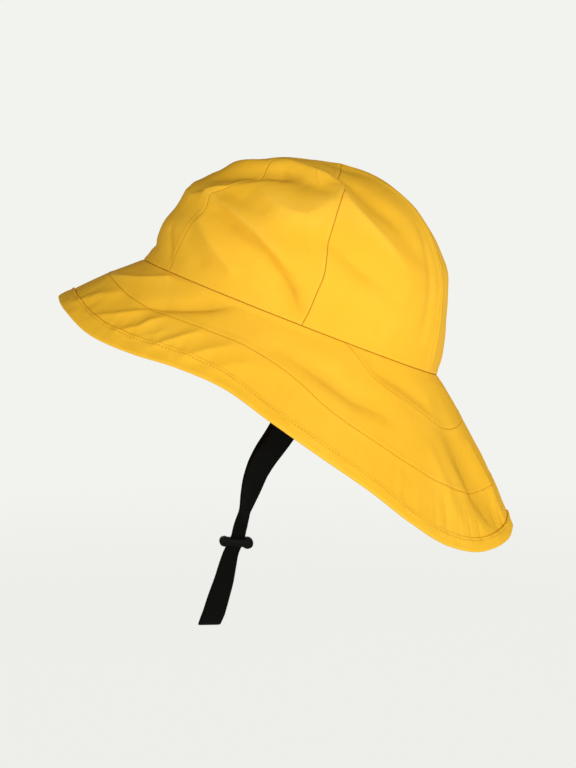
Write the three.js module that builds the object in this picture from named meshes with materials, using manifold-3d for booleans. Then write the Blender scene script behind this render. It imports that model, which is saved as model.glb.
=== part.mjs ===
// A sou'wester rain hat of coated cloth: a crown of six gores, a brim of two rings that is long
// at the back with a gusset let in above it, a folded hem, and a webbing chin strap with a slide.
// Millimetres, +Z up, the hat's front toward -Y and the wearer's left toward +X.
// The origin is the middle of the head opening, where the crown meets the brim.

import * as THREE from 'three';
import { mergeVertices } from 'three/addons/utils/BufferGeometryUtils.js';
import Module from 'manifold-3d';

// Head opening and crown
const HEAD_LENGTH = 209;
const HEAD_WIDTH = 166;
const CROWN_HEIGHT = 107;
const APEX_FORWARD = 6;
const APEX_HOLE = 1.8;
const CROWN_WALL = 1.2;
const GORE_PUFF = 1.5;
const PUFF_FULLNESS = 0.7;

// Length up a gore as a share of the crown's height
const GORE_LENGTH_SHARE = 1.55;

// Brim and hem
const BRIM_FRONT = 61;
const BRIM_BACK = 112.5;
const BRIM_WALL = 1.6;
const HEM_WIDTH = 12.5;
const HEM_THICKNESS = 2.8;

// Degrees over which the gusset's ends open, and their clearance there
const GUSSET_STEP = 1.2;
const GUSSET_INSET = 0.4;

// Folds that the soft cloth keeps, which die away toward the seams and the middle of the top
const FOLD_WIDTH = 10;
const FOLD_DEPTH = 3;
const FOLD_START = 0.08;
const CROWN_FOLD_END = 0.88;
const BRIM_FOLD_END = 0.8;

// How the hat sits: its back hangs lower than its front
const HAT_PITCH = 21.6;

// Chin strap, one length of webbing from ear to ear with its loop below the slide
const STRAP_WIDTH = 15;
const STRAP_THICKNESS = 1.2;
const STRAP_BACK = 29;
const STRAP_DROP = 154;
const STRAP_ANCHOR = 16;
const ANCHOR_LOW = 0.1;
const TAIL_DROP = 64;
const TAIL_RADIUS = 3.5;

// Slide that gathers both sides of the strap
const SLIDE_DEPTH = 9;
const SLIDE_FRONT_RADIUS = 2.9;
const SLIDE_BACK_RADIUS = 3.7;
const SLIDE_NECK = 5.4;
const SLIDE_WALL = 5;
const SLIDE_TILT = 17;
const SLIDE_BEVEL = 1.2;

// Clearances
const SEAM_GAP = 0.3;
const WALL_CLEARANCE = 0.5;
const SLOT_CLEARANCE = 0.4;
const LAYER_GAP = 0.8;

// How finely each piece is divided
const GORE_COLUMNS = 12;
const GORE_ROWS = 15;
const FRONT_COLUMNS = 43;
const BACK_COLUMNS = 29;
const BRIM_ROWS = 5;
const GUSSET_ROWS = 4;
const ANCHOR_STEPS = 3;
const STRAP_STEPS = 3;
const TURN_STEPS = 8;

// Turn goes round the hat in degrees: 0 at the front, 90 at the wearer's left, 180 at the back.
const FULL_TURN = 360;
const BACK_TURN = 180;

// Seams of the crown, each with the gore that follows it.
const seams = [
  { turn: 32, gore: 'crown_gore_front_left' },
  { turn: 89, gore: 'crown_gore_back_left' },
  { turn: 150, gore: 'crown_gore_back' },
  { turn: 210, gore: 'crown_gore_back_right' },
  { turn: 271, gore: 'crown_gore_front_right' },
  { turn: 328, gore: 'crown_gore_front' },
];

// Crown outline. Rise is the share of the way up a gore. Reach is a share of the half length or
// half width of the head opening, and height is a share of the crown's.
const crownSections = table('rise frontReach sideReach backReach frontHeight sideHeight backHeight', [
  [0.00, 1.000, 1.000, 1.000, 0.000, 0.000, 0.000],
  [0.07, 0.972, 0.985, 0.992, 0.100, 0.104, 0.108],
  [0.20, 0.962, 0.970, 0.946, 0.296, 0.306, 0.318],
  [0.35, 0.892, 0.900, 0.860, 0.512, 0.530, 0.548],
  [0.50, 0.745, 0.765, 0.720, 0.695, 0.720, 0.746],
  [0.65, 0.550, 0.575, 0.535, 0.829, 0.862, 0.900],
  [0.80, 0.326, 0.345, 0.310, 0.921, 0.945, 0.984],
  [0.90, 0.165, 0.175, 0.155, 0.966, 0.976, 1.006],
  [1.00, 0.000, 0.000, 0.000, 1.000, 1.000, 1.000],
]);

// Brim outline, the same on both sides. Growth is the share of the way from the front width to
// the back width, slope is degrees below level, sag is the belly of the cloth as a share of the
// width, and join is where the two rings meet, as a share of the width. Hem is the seen width of
// the hem as a share of its full one.
const brimSections = table('turn growth slope sag join hem', [
  [0, 0.000, 45.5, 0.000, 0.410, 1.00],
  [15, 0.068, 47.5, 0.008, 0.415, 1.00],
  [30, 0.136, 53.5, 0.015, 0.435, 1.00],
  [45, 0.087, 57.0, 0.015, 0.465, 0.96],
  [60, 0.029, 56.0, 0.008, 0.472, 0.96],
  [75, 0.058, 55.0, 0.000, 0.460, 0.92],
  [90, 0.252, 55.5, 0.000, 0.487, 0.88],
  [105, 0.447, 56.5, 0.006, 0.600, 0.84],
  [120, 0.650, 57.0, 0.010, 0.638, 0.80],
  [135, 0.883, 58.0, 0.015, 0.642, 0.76],
  [150, 1.087, 56.5, 0.021, 0.660, 0.76],
  [160, 1.175, 52.0, 0.025, 0.675, 0.76],
  [170, 1.117, 45.0, 0.025, 0.692, 0.76],
  [180, 1.000, 41.0, 0.027, 0.710, 0.76],
]);

// Lower edge of the gusset behind the crown, as a share of the brim's width.
const gussetSections = table('turn share', [
  [108, 0.015],
  [114, 0.110],
  [120, 0.180],
  [135, 0.235],
  [150, 0.295],
  [160, 0.315],
  [170, 0.300],
  [180, 0.270],
]);

// Folds of the crown, each along a line between two places given by turn and rise. Above and
// below are the half widths on each side of the line as shares of the fold width, and lift is a
// share of the fold depth, outward if positive.
const crownFolds = table('name turn rise endTurn endRise above below lift', [
  ['front_ridge', 34, 0.365, 72, 0.225, 0.9, 0.5, 0.70],
  ['front_valley', 46, 0.270, 86, 0.090, 0.5, 0.9, -0.80],
  ['low_streak', 36, 0.180, 60, 0.075, 0.6, 0.6, 0.35],
  ['brow_dent', 8, 0.410, 36, 0.455, 0.6, 0.6, -0.90],
  ['brow_dent_top', 36, 0.455, 50, 0.580, 0.6, 0.6, -0.90],
  ['brow_bulge', 14, 0.520, 34, 0.580, 0.8, 0.8, 0.50],
  ['top_hollow_front', 46, 0.560, 77, 0.500, 1.1, 0.7, -0.95],
  ['top_hollow_back', 77, 0.500, 87, 0.640, 0.9, 0.6, -0.70],
  ['side_bulge', 56, 0.430, 80, 0.400, 0.7, 1.2, 0.50],
  ['ear_fold', 90, 0.600, 126, 0.370, 0.4, 1.2, 0.85],
  ['ear_fold_back', 98, 0.640, 130, 0.440, 1.3, 0.6, -0.50],
  ['low_hollow', 92, 0.300, 116, 0.240, 0.8, 0.8, -0.40],
  ['back_hollow', 143, 0.120, 146, 0.560, 0.7, 0.5, -0.50],
  ['right_ridge', 322, 0.340, 286, 0.240, 0.9, 0.9, 0.50],
  ['right_valley', 306, 0.190, 272, 0.140, 0.9, 0.9, -0.45],
  ['right_top_hollow', 312, 0.540, 280, 0.480, 1.2, 1.0, -0.70],
  ['right_back_fold', 262, 0.560, 232, 0.350, 0.8, 1.2, 0.60],
]);

// Folds of the brim, in the same way, with out the share of the way to the edge.
const brimFolds = table('name turn rise endTurn endRise above below lift', [
  ['front_pleat', 12, 0.340, 39, 0.030, 0.5, 0.5, -0.45],
  ['cheek_pleat', 44, 0.390, 66, 0.080, 0.6, 0.6, -0.55],
  ['front_pucker', 28, 0.780, 40, 0.470, 0.5, 0.6, -0.50],
  ['cheek_pucker', 37, 0.840, 53, 0.420, 0.5, 0.6, -0.50],
  ['temple_pucker', 55, 0.800, 67, 0.450, 0.5, 0.6, -0.50],
  ['ear_pucker', 64, 0.840, 77, 0.540, 0.5, 0.6, -0.45],
  ['ear_hollow', 90, 0.340, 124, 0.410, 0.8, 1.0, -0.80],
  ['neck_hollow', 122, 0.130, 146, 0.150, 0.8, 0.8, -0.45],
  ['tail_valley', 157, 0.420, 168, 0.900, 0.7, 0.6, -0.80],
  ['tail_ridge', 150, 0.480, 158, 0.880, 0.7, 0.7, 0.50],
  ['right_pucker', 304, 0.820, 290, 0.420, 0.7, 0.7, -0.50],
  ['right_hollow', 268, 0.340, 236, 0.410, 1.0, 1.0, -0.70],
  ['right_tail_valley', 204, 0.440, 192, 0.900, 0.8, 0.8, -0.60],
]);

// Free run of the strap from the head opening down to the slide. Drop is a share of that run,
// spread the share of the way out from the slide to the wall, left and right the place of each
// side as shares of how far back the strap is sewn, width a share of the webbing's, and twist
// the turn of the left side about itself in degrees. Hold keeps the webbing flat to the wall.
const strapRun = table('drop spread left right width twist hold', [
  [0.04, 0.985, 0.98, 1.00, 1.00, 0, 0.9],
  [0.12, 0.900, 0.93, 1.01, 1.00, 0, 0.5],
  [0.26, 0.750, 0.86, 1.03, 1.00, 0, 0.1],
  [0.48, 0.515, 0.76, 1.03, 1.00, 4, 0.0],
  [0.65, 0.340, 0.64, 0.95, 0.98, 16, 0.0],
  [0.73, 0.260, 0.59, 0.90, 0.95, 30, 0.0],
  [0.80, 0.185, 0.62, 0.85, 0.88, 48, 0.0],
  [0.86, 0.120, 0.62, 0.80, 0.78, 58, 0.0],
  [0.91, 0.062, 0.67, 0.77, 0.68, 40, 0.0],
  [0.95, 0.020, 0.71, 0.75, 0.62, 12, 0.0],
  [0.975, 0.000, 0.73, 0.74, 0.62, 0, 0.0],
]);

// The two layers below the slide, with drop a share of the tail's length and part the share of
// the way from lying together to the width of the turn at the bottom.
const strapTail = table('drop part back width', [
  [0.00, 0.00, 0.74, 0.62],
  [0.05, 0.00, 0.73, 0.62],
  [0.12, 0.05, 0.72, 0.66],
  [0.28, 0.15, 0.75, 0.77],
  [0.46, 0.30, 0.80, 0.86],
  [0.66, 0.55, 0.83, 0.93],
  [0.86, 0.95, 0.86, 1.00],
]);

const goreLength = CROWN_HEIGHT * GORE_LENGTH_SHARE;
const slideBack = STRAP_BACK * strapTail[0].back;
const layerOffset = (LAYER_GAP + STRAP_THICKNESS) / 2;

function table(names, rows) {
  const columns = names.split(' ');
  return rows.map((row) => Object.fromEntries(columns.map((name, k) => [name, row[k]])));
}

function radians(degrees) {
  return THREE.MathUtils.degToRad(degrees);
}

function mix(a, b, share) {
  return a + (b - a) * share;
}

// Slope of a column at one row, zero at the ends of a table that mirrors there.
function slopeAt(rows, place, column, k, mirrored) {
  const last = rows.length - 1;
  if (mirrored && (k === 0 || k === last)) return 0;
  const rate = (i) => (rows[i + 1][column] - rows[i][column]) / (rows[i + 1][place] - rows[i][place]);
  if (k === 0) return rate(0);
  if (k === last) return rate(last - 1);
  const before = rows[k][place] - rows[k - 1][place];
  const after = rows[k + 1][place] - rows[k][place];
  return (rate(k - 1) * after + rate(k) * before) / (before + after);
}

// Value of a column anywhere between the rows, on a smooth curve through them.
function along(rows, place, column, at, mirrored = false) {
  let k = rows.length - 2;
  while (k > 0 && rows[k][place] > at) k -= 1;
  const span = rows[k + 1][place] - rows[k][place];
  const t = THREE.MathUtils.clamp((at - rows[k][place]) / span, 0, 1);
  const from = rows[k][column];
  const to = rows[k + 1][column];
  const leave = slopeAt(rows, place, column, k, mirrored) * span;
  const arrive = slopeAt(rows, place, column, k + 1, mirrored) * span;
  return from + t * leave + t * t * (3 * (to - from) - 2 * leave - arrive)
    + t * t * t * (2 * (from - to) + leave + arrive);
}

// Degrees between two turns, the short way round.
function turnBetween(from, to) {
  return THREE.MathUtils.euclideanModulo(to - from + BACK_TURN, FULL_TURN) - BACK_TURN;
}

function mirroredTurn(turn) {
  return Math.abs(turnBetween(0, turn));
}

// Edge of the head opening, and the level direction that points straight out from it.
function openingPoint(turn) {
  const angle = radians(turn);
  return new THREE.Vector3(HEAD_WIDTH / 2 * Math.sin(angle), -HEAD_LENGTH / 2 * Math.cos(angle), 0);
}

function openingNormal(turn) {
  const angle = radians(turn);
  return new THREE.Vector3(HEAD_LENGTH * Math.sin(angle), -HEAD_WIDTH * Math.cos(angle), 0).normalize();
}

// Height of all folds at a place on a surface whose turn and rise cover these lengths there.
function foldHeight(folds, turn, rise, perTurn, perRise) {
  let height = 0;
  for (const fold of folds) {
    const x = turnBetween(turn, fold.turn) * perTurn;
    const y = (fold.rise - rise) * perRise;
    const runX = turnBetween(fold.turn, fold.endTurn) * perTurn;
    const runY = (fold.endRise - fold.rise) * perRise;
    const t = THREE.MathUtils.clamp(-(x * runX + y * runY) / (runX ** 2 + runY ** 2), 0, 1);
    const offX = x + t * runX;
    const offY = y + t * runY;
    const width = FOLD_WIDTH * (offY < 0 ? fold.above : fold.below);
    height += FOLD_DEPTH * fold.lift * Math.exp(-(offX ** 2 + offY ** 2) / width ** 2);
  }
  return height;
}

// Share of their depth that folds have at a rise, nothing at the start and the end of a piece.
function foldShare(rise, fadesFrom) {
  const started = THREE.MathUtils.smoothstep(rise, 0, FOLD_START);
  return started * (1 - THREE.MathUtils.smoothstep(rise, fadesFrom, 1));
}

// Unit normal of a surface given by turn and rise, by its slope at the place.
function surfaceNormal(surface, turn, rise) {
  const turnStep = 0.2;
  const riseStep = 0.004;
  const justUnderTop = 1 - 1e-6;
  const low = Math.max(rise - riseStep, 0);
  const high = Math.min(rise + riseStep, justUnderTop);
  const across = surface(turn + turnStep, rise).sub(surface(turn - turnStep, rise));
  const up = surface(turn, high).sub(surface(turn, low));
  return across.cross(up).normalize();
}

function plainCrown(turn, rise) {
  const angle = radians(turn);
  const backward = (1 - Math.cos(angle)) / 2;
  const endwise = Math.cos(angle) ** 2;
  const blend = (kind) => {
    const [front, side, back] = ['front', 'side', 'back'].map(
      (end) => along(crownSections, 'rise', end + kind, rise));
    return mix(side, mix(front, back, backward), endwise);
  };
  const reach = blend('Reach');
  return new THREE.Vector3(
    HEAD_WIDTH / 2 * reach * Math.sin(angle),
    -HEAD_LENGTH / 2 * reach * Math.cos(angle) - APEX_FORWARD * rise ** 2,
    CROWN_HEIGHT * blend('Height'),
  );
}

// Degrees from one turn on to another.
function turnOnward(from, to) {
  return THREE.MathUtils.euclideanModulo(to - from, FULL_TURN);
}

const gores = seams.map((seam, k) => {
  const following = seams[(k + 1) % seams.length].turn;
  return { name: seam.gore, from: seam.turn, width: turnOnward(seam.turn, following) };
});

// How far each gore swells between its seams.
function gorePuff(turn, rise) {
  const gore = gores.find((each) => turnOnward(each.from, turn) < each.width);
  const share = turnOnward(gore.from, turn) / gore.width;
  const swell = Math.sin(Math.PI * share) * Math.sin(Math.PI * rise);
  return GORE_PUFF * swell ** PUFF_FULLNESS;
}

// Outer face of the crown with its gores and folds.
function crownSurface(turn, rise) {
  const point = plainCrown(turn, rise);
  const perTurn = Math.hypot(point.x, point.y + APEX_FORWARD * rise ** 2) * radians(1);
  const lift = gorePuff(turn, rise)
    + foldShare(rise, CROWN_FOLD_END) * foldHeight(crownFolds, turn, rise, perTurn, goreLength);
  return point.addScaledVector(surfaceNormal(plainCrown, turn, rise), lift);
}

function brimWidth(turn) {
  const growth = along(brimSections, 'turn', 'growth', mirroredTurn(turn), true);
  return mix(BRIM_FRONT, BRIM_BACK, growth);
}

function plainBrim(turn, out) {
  const at = mirroredTurn(turn);
  const width = brimWidth(turn);
  const slope = radians(along(brimSections, 'turn', 'slope', at, true));
  const sag = along(brimSections, 'turn', 'sag', at, true) * width * 4 * out * (1 - out);
  const level = out * width * Math.cos(slope) + sag * Math.sin(slope);
  const point = openingPoint(turn).addScaledVector(openingNormal(turn), level);
  point.z = sag * Math.cos(slope) - out * width * Math.sin(slope);
  return point;
}

// Outer face of the brim with its folds.
function brimSurface(turn, out) {
  const point = plainBrim(turn, out);
  const perTurn = Math.hypot(point.x, point.y) * radians(1);
  const lift = foldShare(out, BRIM_FOLD_END) * foldHeight(brimFolds, turn, out, perTurn, brimWidth(turn));
  return point.addScaledVector(surfaceNormal(plainBrim, turn, out), -lift);
}

function brimNormal(turn, out) {
  return surfaceNormal(brimSurface, turn, out).negate();
}

// Closed solid through sections that each have an outer and an inner row of points. The sections
// go round in a ring, or end in flat walls.
function sweep(sections, closed) {
  const rows = sections[0].outer.length;
  const loop = 2 * rows;
  const positions = [];
  for (const section of sections) {
    const points = [...section.outer, ...[...section.inner].reverse()];
    for (const point of points) positions.push(point.x, point.y, point.z);
  }
  const indices = [];
  const quad = (a, b, c, d) => indices.push(a, b, c, a, c, d);
  const count = sections.length;
  for (let i = 0; i < (closed ? count : count - 1); i += 1) {
    const here = i * loop;
    const next = ((i + 1) % count) * loop;
    for (let j = 0; j < loop; j += 1) {
      const k = (j + 1) % loop;
      quad(here + j, next + j, next + k, here + k);
    }
  }
  if (!closed) {
    const end = (count - 1) * loop;
    for (let j = 0; j < rows - 1; j += 1) {
      quad(j, j + 1, loop - 2 - j, loop - 1 - j);
      quad(end + loop - 1 - j, end + loop - 2 - j, end + j + 1, end + j);
    }
  }
  const geometry = new THREE.BufferGeometry();
  geometry.setAttribute('position', new THREE.Float32BufferAttribute(positions, 3));
  geometry.setIndex(indices);
  geometry.computeVertexNormals();
  return geometry;
}

function steps(from, to, count) {
  return Array.from({ length: count + 1 }, (_, k) => mix(from, to, k / count));
}

// One point of the head opening's edge, on the crown's or the brim's side of the seam, set in by
// a wall thickness if asked.
function openingEdge(turn, height, inset) {
  const point = openingPoint(turn).addScaledVector(openingNormal(turn), -inset);
  point.z = height;
  return point;
}

// Share of the rise at which a gore's tip ends beside the small hole that all six leave.
function tipRise() {
  const lastReach = crownSections.at(-2);
  return 1 - (1 - lastReach.rise) * APEX_HOLE / (HEAD_WIDTH * lastReach.sideReach);
}

function crownGore(fromTurn, toTurn) {
  const rises = steps(0, tipRise(), GORE_ROWS);
  const columns = steps(0, 1, GORE_COLUMNS);
  const sections = columns.map((share) => {
    const outer = [];
    const inner = [];
    for (const rise of rises) {
      const radius = HEAD_WIDTH / 2 * along(crownSections, 'rise', 'sideReach', rise);
      const inset = THREE.MathUtils.radToDeg(SEAM_GAP / 2 / radius);
      const turn = mix(fromTurn + inset, toTurn - inset, share);
      if (rise === 0) {
        outer.push(openingEdge(turn, SEAM_GAP / 2, 0));
        inner.push(openingEdge(turn, SEAM_GAP / 2, CROWN_WALL));
      } else {
        const point = crownSurface(turn, rise);
        outer.push(point);
        inner.push(point.clone().addScaledVector(surfaceNormal(crownSurface, turn, rise), -CROWN_WALL));
      }
    }
    return { outer, inner };
  });
  return sweep(sections, false);
}

// A column of a brim ring between two shares of the width, from its lower edge up.
function brimColumn(turn, fromOut, toOut, rows) {
  const outer = [];
  const inner = [];
  for (const out of steps(toOut, fromOut, rows)) {
    const atOpening = out * brimWidth(turn) < SEAM_GAP;
    const point = atOpening ? openingEdge(turn, -SEAM_GAP / 2, 0) : brimSurface(turn, out);
    outer.push(point);
    inner.push(atOpening
      ? openingEdge(turn, -SEAM_GAP / 2, CROWN_WALL)
      : point.clone().addScaledVector(brimNormal(turn, out), -BRIM_WALL));
  }
  return { outer, inner };
}

function joinShare(turn) {
  return along(brimSections, 'turn', 'join', mirroredTurn(turn), true);
}

function hemShare(turn) {
  const seen = along(brimSections, 'turn', 'hem', mirroredTurn(turn), true);
  return 1 - HEM_WIDTH * seen / brimWidth(turn);
}

function gussetShare(turn) {
  return along(gussetSections, 'turn', 'share', mirroredTurn(turn));
}

function halfGapShare(turn) {
  return SEAM_GAP / 2 / brimWidth(turn);
}

// Turns of the columns that all rings of the brim share, with a close pair at each end of the
// gusset, where the upper ring steps down from the head opening to the gusset's lower edge.
const gussetStart = gussetSections[0].turn;
const gussetEnd = gussetStart + GUSSET_STEP;
const frontTurns = steps(-gussetStart, gussetStart, FRONT_COLUMNS);
const backTurns = steps(gussetEnd, FULL_TURN - gussetEnd, BACK_COLUMNS);
const ringTurns = [...frontTurns, ...backTurns];

function brimUpper() {
  const sections = ringTurns.map((turn) => {
    const behind = mirroredTurn(turn) > gussetStart + GUSSET_STEP / 2;
    const start = behind ? gussetShare(turn) + halfGapShare(turn) : 0;
    return brimColumn(turn, start, joinShare(turn) - halfGapShare(turn), BRIM_ROWS - 1);
  });
  return sweep(sections, true);
}

function brimGusset() {
  const turns = [
    gussetEnd + GUSSET_INSET,
    ...backTurns.slice(1, -1),
    FULL_TURN - gussetEnd - GUSSET_INSET,
  ];
  const sections = turns.map(
    (turn) => brimColumn(turn, 0, gussetShare(turn) - halfGapShare(turn), GUSSET_ROWS - 1));
  return sweep(sections, false);
}

function brimLower() {
  const sections = ringTurns.map((turn) => brimColumn(
    turn, joinShare(turn) + halfGapShare(turn), hemShare(turn) - halfGapShare(turn), BRIM_ROWS - 1));
  return sweep(sections, true);
}

// Folded hem round the brim's edge, thicker than the cloth and rounded at the bottom.
const hemProfile = table('along thickness', [
  [0.00, 0.80],
  [0.12, 1.00],
  [0.80, 1.00],
  [0.94, 0.75],
  [1.00, 0.30],
]);

function hem() {
  const sections = ringTurns.map((turn) => {
    const outer = [];
    const inner = [];
    for (const row of hemProfile.toReversed()) {
      const out = mix(hemShare(turn) + halfGapShare(turn), 1, row.along);
      const normal = brimNormal(turn, out);
      const middle = brimSurface(turn, out).addScaledVector(normal, -BRIM_WALL / 2);
      const half = HEM_THICKNESS / 2 * row.thickness;
      outer.push(middle.clone().addScaledVector(normal, half));
      inner.push(middle.clone().addScaledVector(normal, -half));
    }
    return { outer, inner };
  });
  return sweep(sections, true);
}

// Stations of one side of the strap from its sewn end down to the slide. Side is 1 for the
// wearer's left and -1 for the right.
function strapSide(side) {
  const sewnTurn = THREE.MathUtils.radToDeg(Math.acos(-STRAP_BACK / (HEAD_LENGTH / 2)));
  const turn = side * sewnTurn;
  const depth = CROWN_WALL + WALL_CLEARANCE + STRAP_THICKNESS / 2;
  const anchor = steps(1, ANCHOR_LOW, ANCHOR_STEPS).map((share) => {
    const rise = share * STRAP_ANCHOR / goreLength;
    const normal = surfaceNormal(crownSurface, turn, rise);
    const centre = crownSurface(turn, rise).addScaledVector(normal, -depth);
    return { centre, facing: normal, hold: 1, width: 1, twist: 0 };
  });
  const wall = anchor.at(-1);
  const free = finely(strapRun, 'drop').map((row) => ({
    centre: new THREE.Vector3(
      mix(side * layerOffset, wall.centre.x, row.spread),
      STRAP_BACK * (side > 0 ? row.left : row.right),
      -STRAP_DROP * row.drop,
    ),
    facing: wall.facing,
    hold: row.hold,
    width: row.width,
    twist: side > 0 ? row.twist : 0,
  }));
  return [...anchor, ...free];
}

// Rows of a table with further ones between them on the smooth curve.
function finely(rows, place) {
  const columns = Object.keys(rows[0]);
  const places = rows.slice(0, -1).flatMap(
    (row, k) => steps(row[place], rows[k + 1][place], STRAP_STEPS).slice(0, -1));
  places.push(rows.at(-1)[place]);
  return places.map((at) => Object.fromEntries(
    columns.map((name) => [name, name === place ? at : along(rows, place, name, at)])));
}

function tailSide(side) {
  return finely(strapTail, 'drop').map((row) => ({
    centre: new THREE.Vector3(
      side * mix(layerOffset, TAIL_RADIUS, row.part),
      STRAP_BACK * row.back,
      -STRAP_DROP - TAIL_DROP * row.drop,
    ),
    hold: 0,
    width: row.width,
    twist: 0,
  }));
}

// Plain turn at the bottom of the strap's loop.
function tailTurn() {
  const last = tailSide(1).at(-1);
  return steps(0, Math.PI, TURN_STEPS).slice(1, -1).map((angle) => ({
    centre: new THREE.Vector3(
      last.centre.x * Math.cos(angle),
      last.centre.y,
      last.centre.z - (TAIL_DROP * (1 - strapTail.at(-1).drop)) * Math.sin(angle),
    ),
    hold: 0,
    width: last.width,
    twist: 0,
  }));
}

function chinStrap() {
  const stations = [
    ...strapSide(1),
    ...tailSide(1),
    ...tailTurn(),
    ...tailSide(-1).reverse(),
    ...strapSide(-1).reverse(),
  ];
  const backward = new THREE.Vector3(0, 1, 0);
  const sections = stations.map((station, k) => {
    const before = stations[Math.max(k - 1, 0)].centre;
    const after = stations[Math.min(k + 1, stations.length - 1)].centre;
    const run = after.clone().sub(before).normalize();
    const face = run.clone().cross(backward).normalize();
    if (station.hold > 0) face.lerp(station.facing, station.hold);
    face.addScaledVector(run, -face.dot(run)).normalize();
    face.applyAxisAngle(run, radians(station.twist));
    const across = face.clone().cross(run).multiplyScalar(STRAP_WIDTH * station.width / 2);
    const half = face.multiplyScalar(STRAP_THICKNESS / 2);
    const corner = (out, over) => station.centre.clone()
      .addScaledVector(half, out).addScaledVector(across, over);
    return { outer: [corner(1, -1), corner(1, 1)], inner: [corner(-1, -1), corner(-1, 1)] };
  });
  return sweep(sections, false);
}

// Side view of the slide: a bar between two round ends.
function slideOutline(length) {
  const shape = new THREE.Shape();
  const frontY = -length / 2 + SLIDE_FRONT_RADIUS;
  const backY = length / 2 - SLIDE_BACK_RADIUS;
  const frontAngle = Math.asin(SLIDE_NECK / 2 / SLIDE_FRONT_RADIUS);
  const backAngle = Math.asin(SLIDE_NECK / 2 / SLIDE_BACK_RADIUS);
  shape.absarc(frontY, 0, SLIDE_FRONT_RADIUS, frontAngle, 2 * Math.PI - frontAngle, false);
  shape.absarc(backY, 0, SLIDE_BACK_RADIUS, Math.PI + backAngle, 3 * Math.PI - backAngle, false);
  shape.closePath();
  return shape;
}

function manifoldOf(wasm, geometry) {
  const bare = geometry.clone();
  bare.deleteAttribute('normal');
  bare.deleteAttribute('uv');
  const merged = mergeVertices(bare);
  return new wasm.Manifold(new wasm.Mesh({
    numProp: 3,
    vertProperties: Float32Array.from(merged.attributes.position.array),
    triVerts: Uint32Array.from(merged.index.array),
  }));
}

function strapSlide(wasm) {
  const gathered = STRAP_WIDTH * strapTail[0].width;
  const tallest = 2 * SLIDE_BACK_RADIUS;
  const slotLength = gathered / Math.cos(radians(SLIDE_TILT))
    + tallest * Math.tan(radians(SLIDE_TILT)) + 2 * SLOT_CLEARANCE;
  const slotWidth = LAYER_GAP + 2 * STRAP_THICKNESS + 2 * SLOT_CLEARANCE;
  const body = new THREE.ExtrudeGeometry(slideOutline(slotLength + 2 * SLIDE_WALL), {
    depth: SLIDE_DEPTH - 2 * SLIDE_BEVEL,
    bevelSize: SLIDE_BEVEL,
    bevelThickness: SLIDE_BEVEL,
    bevelOffset: -SLIDE_BEVEL,
    bevelSegments: 2,
    curveSegments: 10,
  });
  body.translate(0, 0, SLIDE_BEVEL - SLIDE_DEPTH / 2);
  body.applyMatrix4(new THREE.Matrix4().makeBasis(
    new THREE.Vector3(0, 1, 0), new THREE.Vector3(0, 0, 1), new THREE.Vector3(1, 0, 0)));
  const slot = new THREE.BoxGeometry(slotWidth, slotLength, 2 * tallest);
  const cut = manifoldOf(wasm, body).subtract(manifoldOf(wasm, slot)).getMesh();
  const geometry = new THREE.BufferGeometry();
  geometry.setAttribute('position', new THREE.Float32BufferAttribute(cut.vertProperties, 3));
  geometry.setIndex([...cut.triVerts]);
  geometry.computeVertexNormals();
  return geometry;
}

const coatedCloth = { color: 0xfabe2d, roughness: 0.55, metalness: 0 };
const blackWebbing = { color: 0x141514, roughness: 0.85, metalness: 0 };
const blackPlastic = { color: 0x101010, roughness: 0.4, metalness: 0 };

function piece(name, geometry, finish) {
  const mesh = new THREE.Mesh(geometry, new THREE.MeshStandardMaterial(finish));
  mesh.name = name;
  return mesh;
}

const wasm = await Module();
wasm.setup();

const crown = new THREE.Group();
for (const gore of gores) {
  crown.add(piece(gore.name, crownGore(gore.from, gore.from + gore.width), coatedCloth));
}

const brim = new THREE.Group();
brim.add(piece('brim_back_gusset', brimGusset(), coatedCloth));
brim.add(piece('brim_upper', brimUpper(), coatedCloth));
brim.add(piece('brim_lower', brimLower(), coatedCloth));
brim.add(piece('brim_hem', hem(), coatedCloth));

const slide = piece('strap_slide', strapSlide(wasm), blackPlastic);
slide.position.set(0, slideBack, -STRAP_DROP);
slide.rotation.x = radians(SLIDE_TILT);

const strap = new THREE.Group();
strap.add(piece('chin_strap', chinStrap(), blackWebbing), slide);

const hat = new THREE.Group();
hat.add(crown, brim, strap);
hat.rotation.x = -radians(HAT_PITCH);

export default hat;
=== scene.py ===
"""A yellow sou'wester rain hat with its webbing chin strap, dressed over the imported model.

Tables and shapes are in millimetres and degrees, in the hat's own level frame. Every mesh is
tilted to the way the hat sits and stored in metres.
"""

import math

import bmesh
import bpy
import numpy as np
from mathutils import Matrix, Vector


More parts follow.
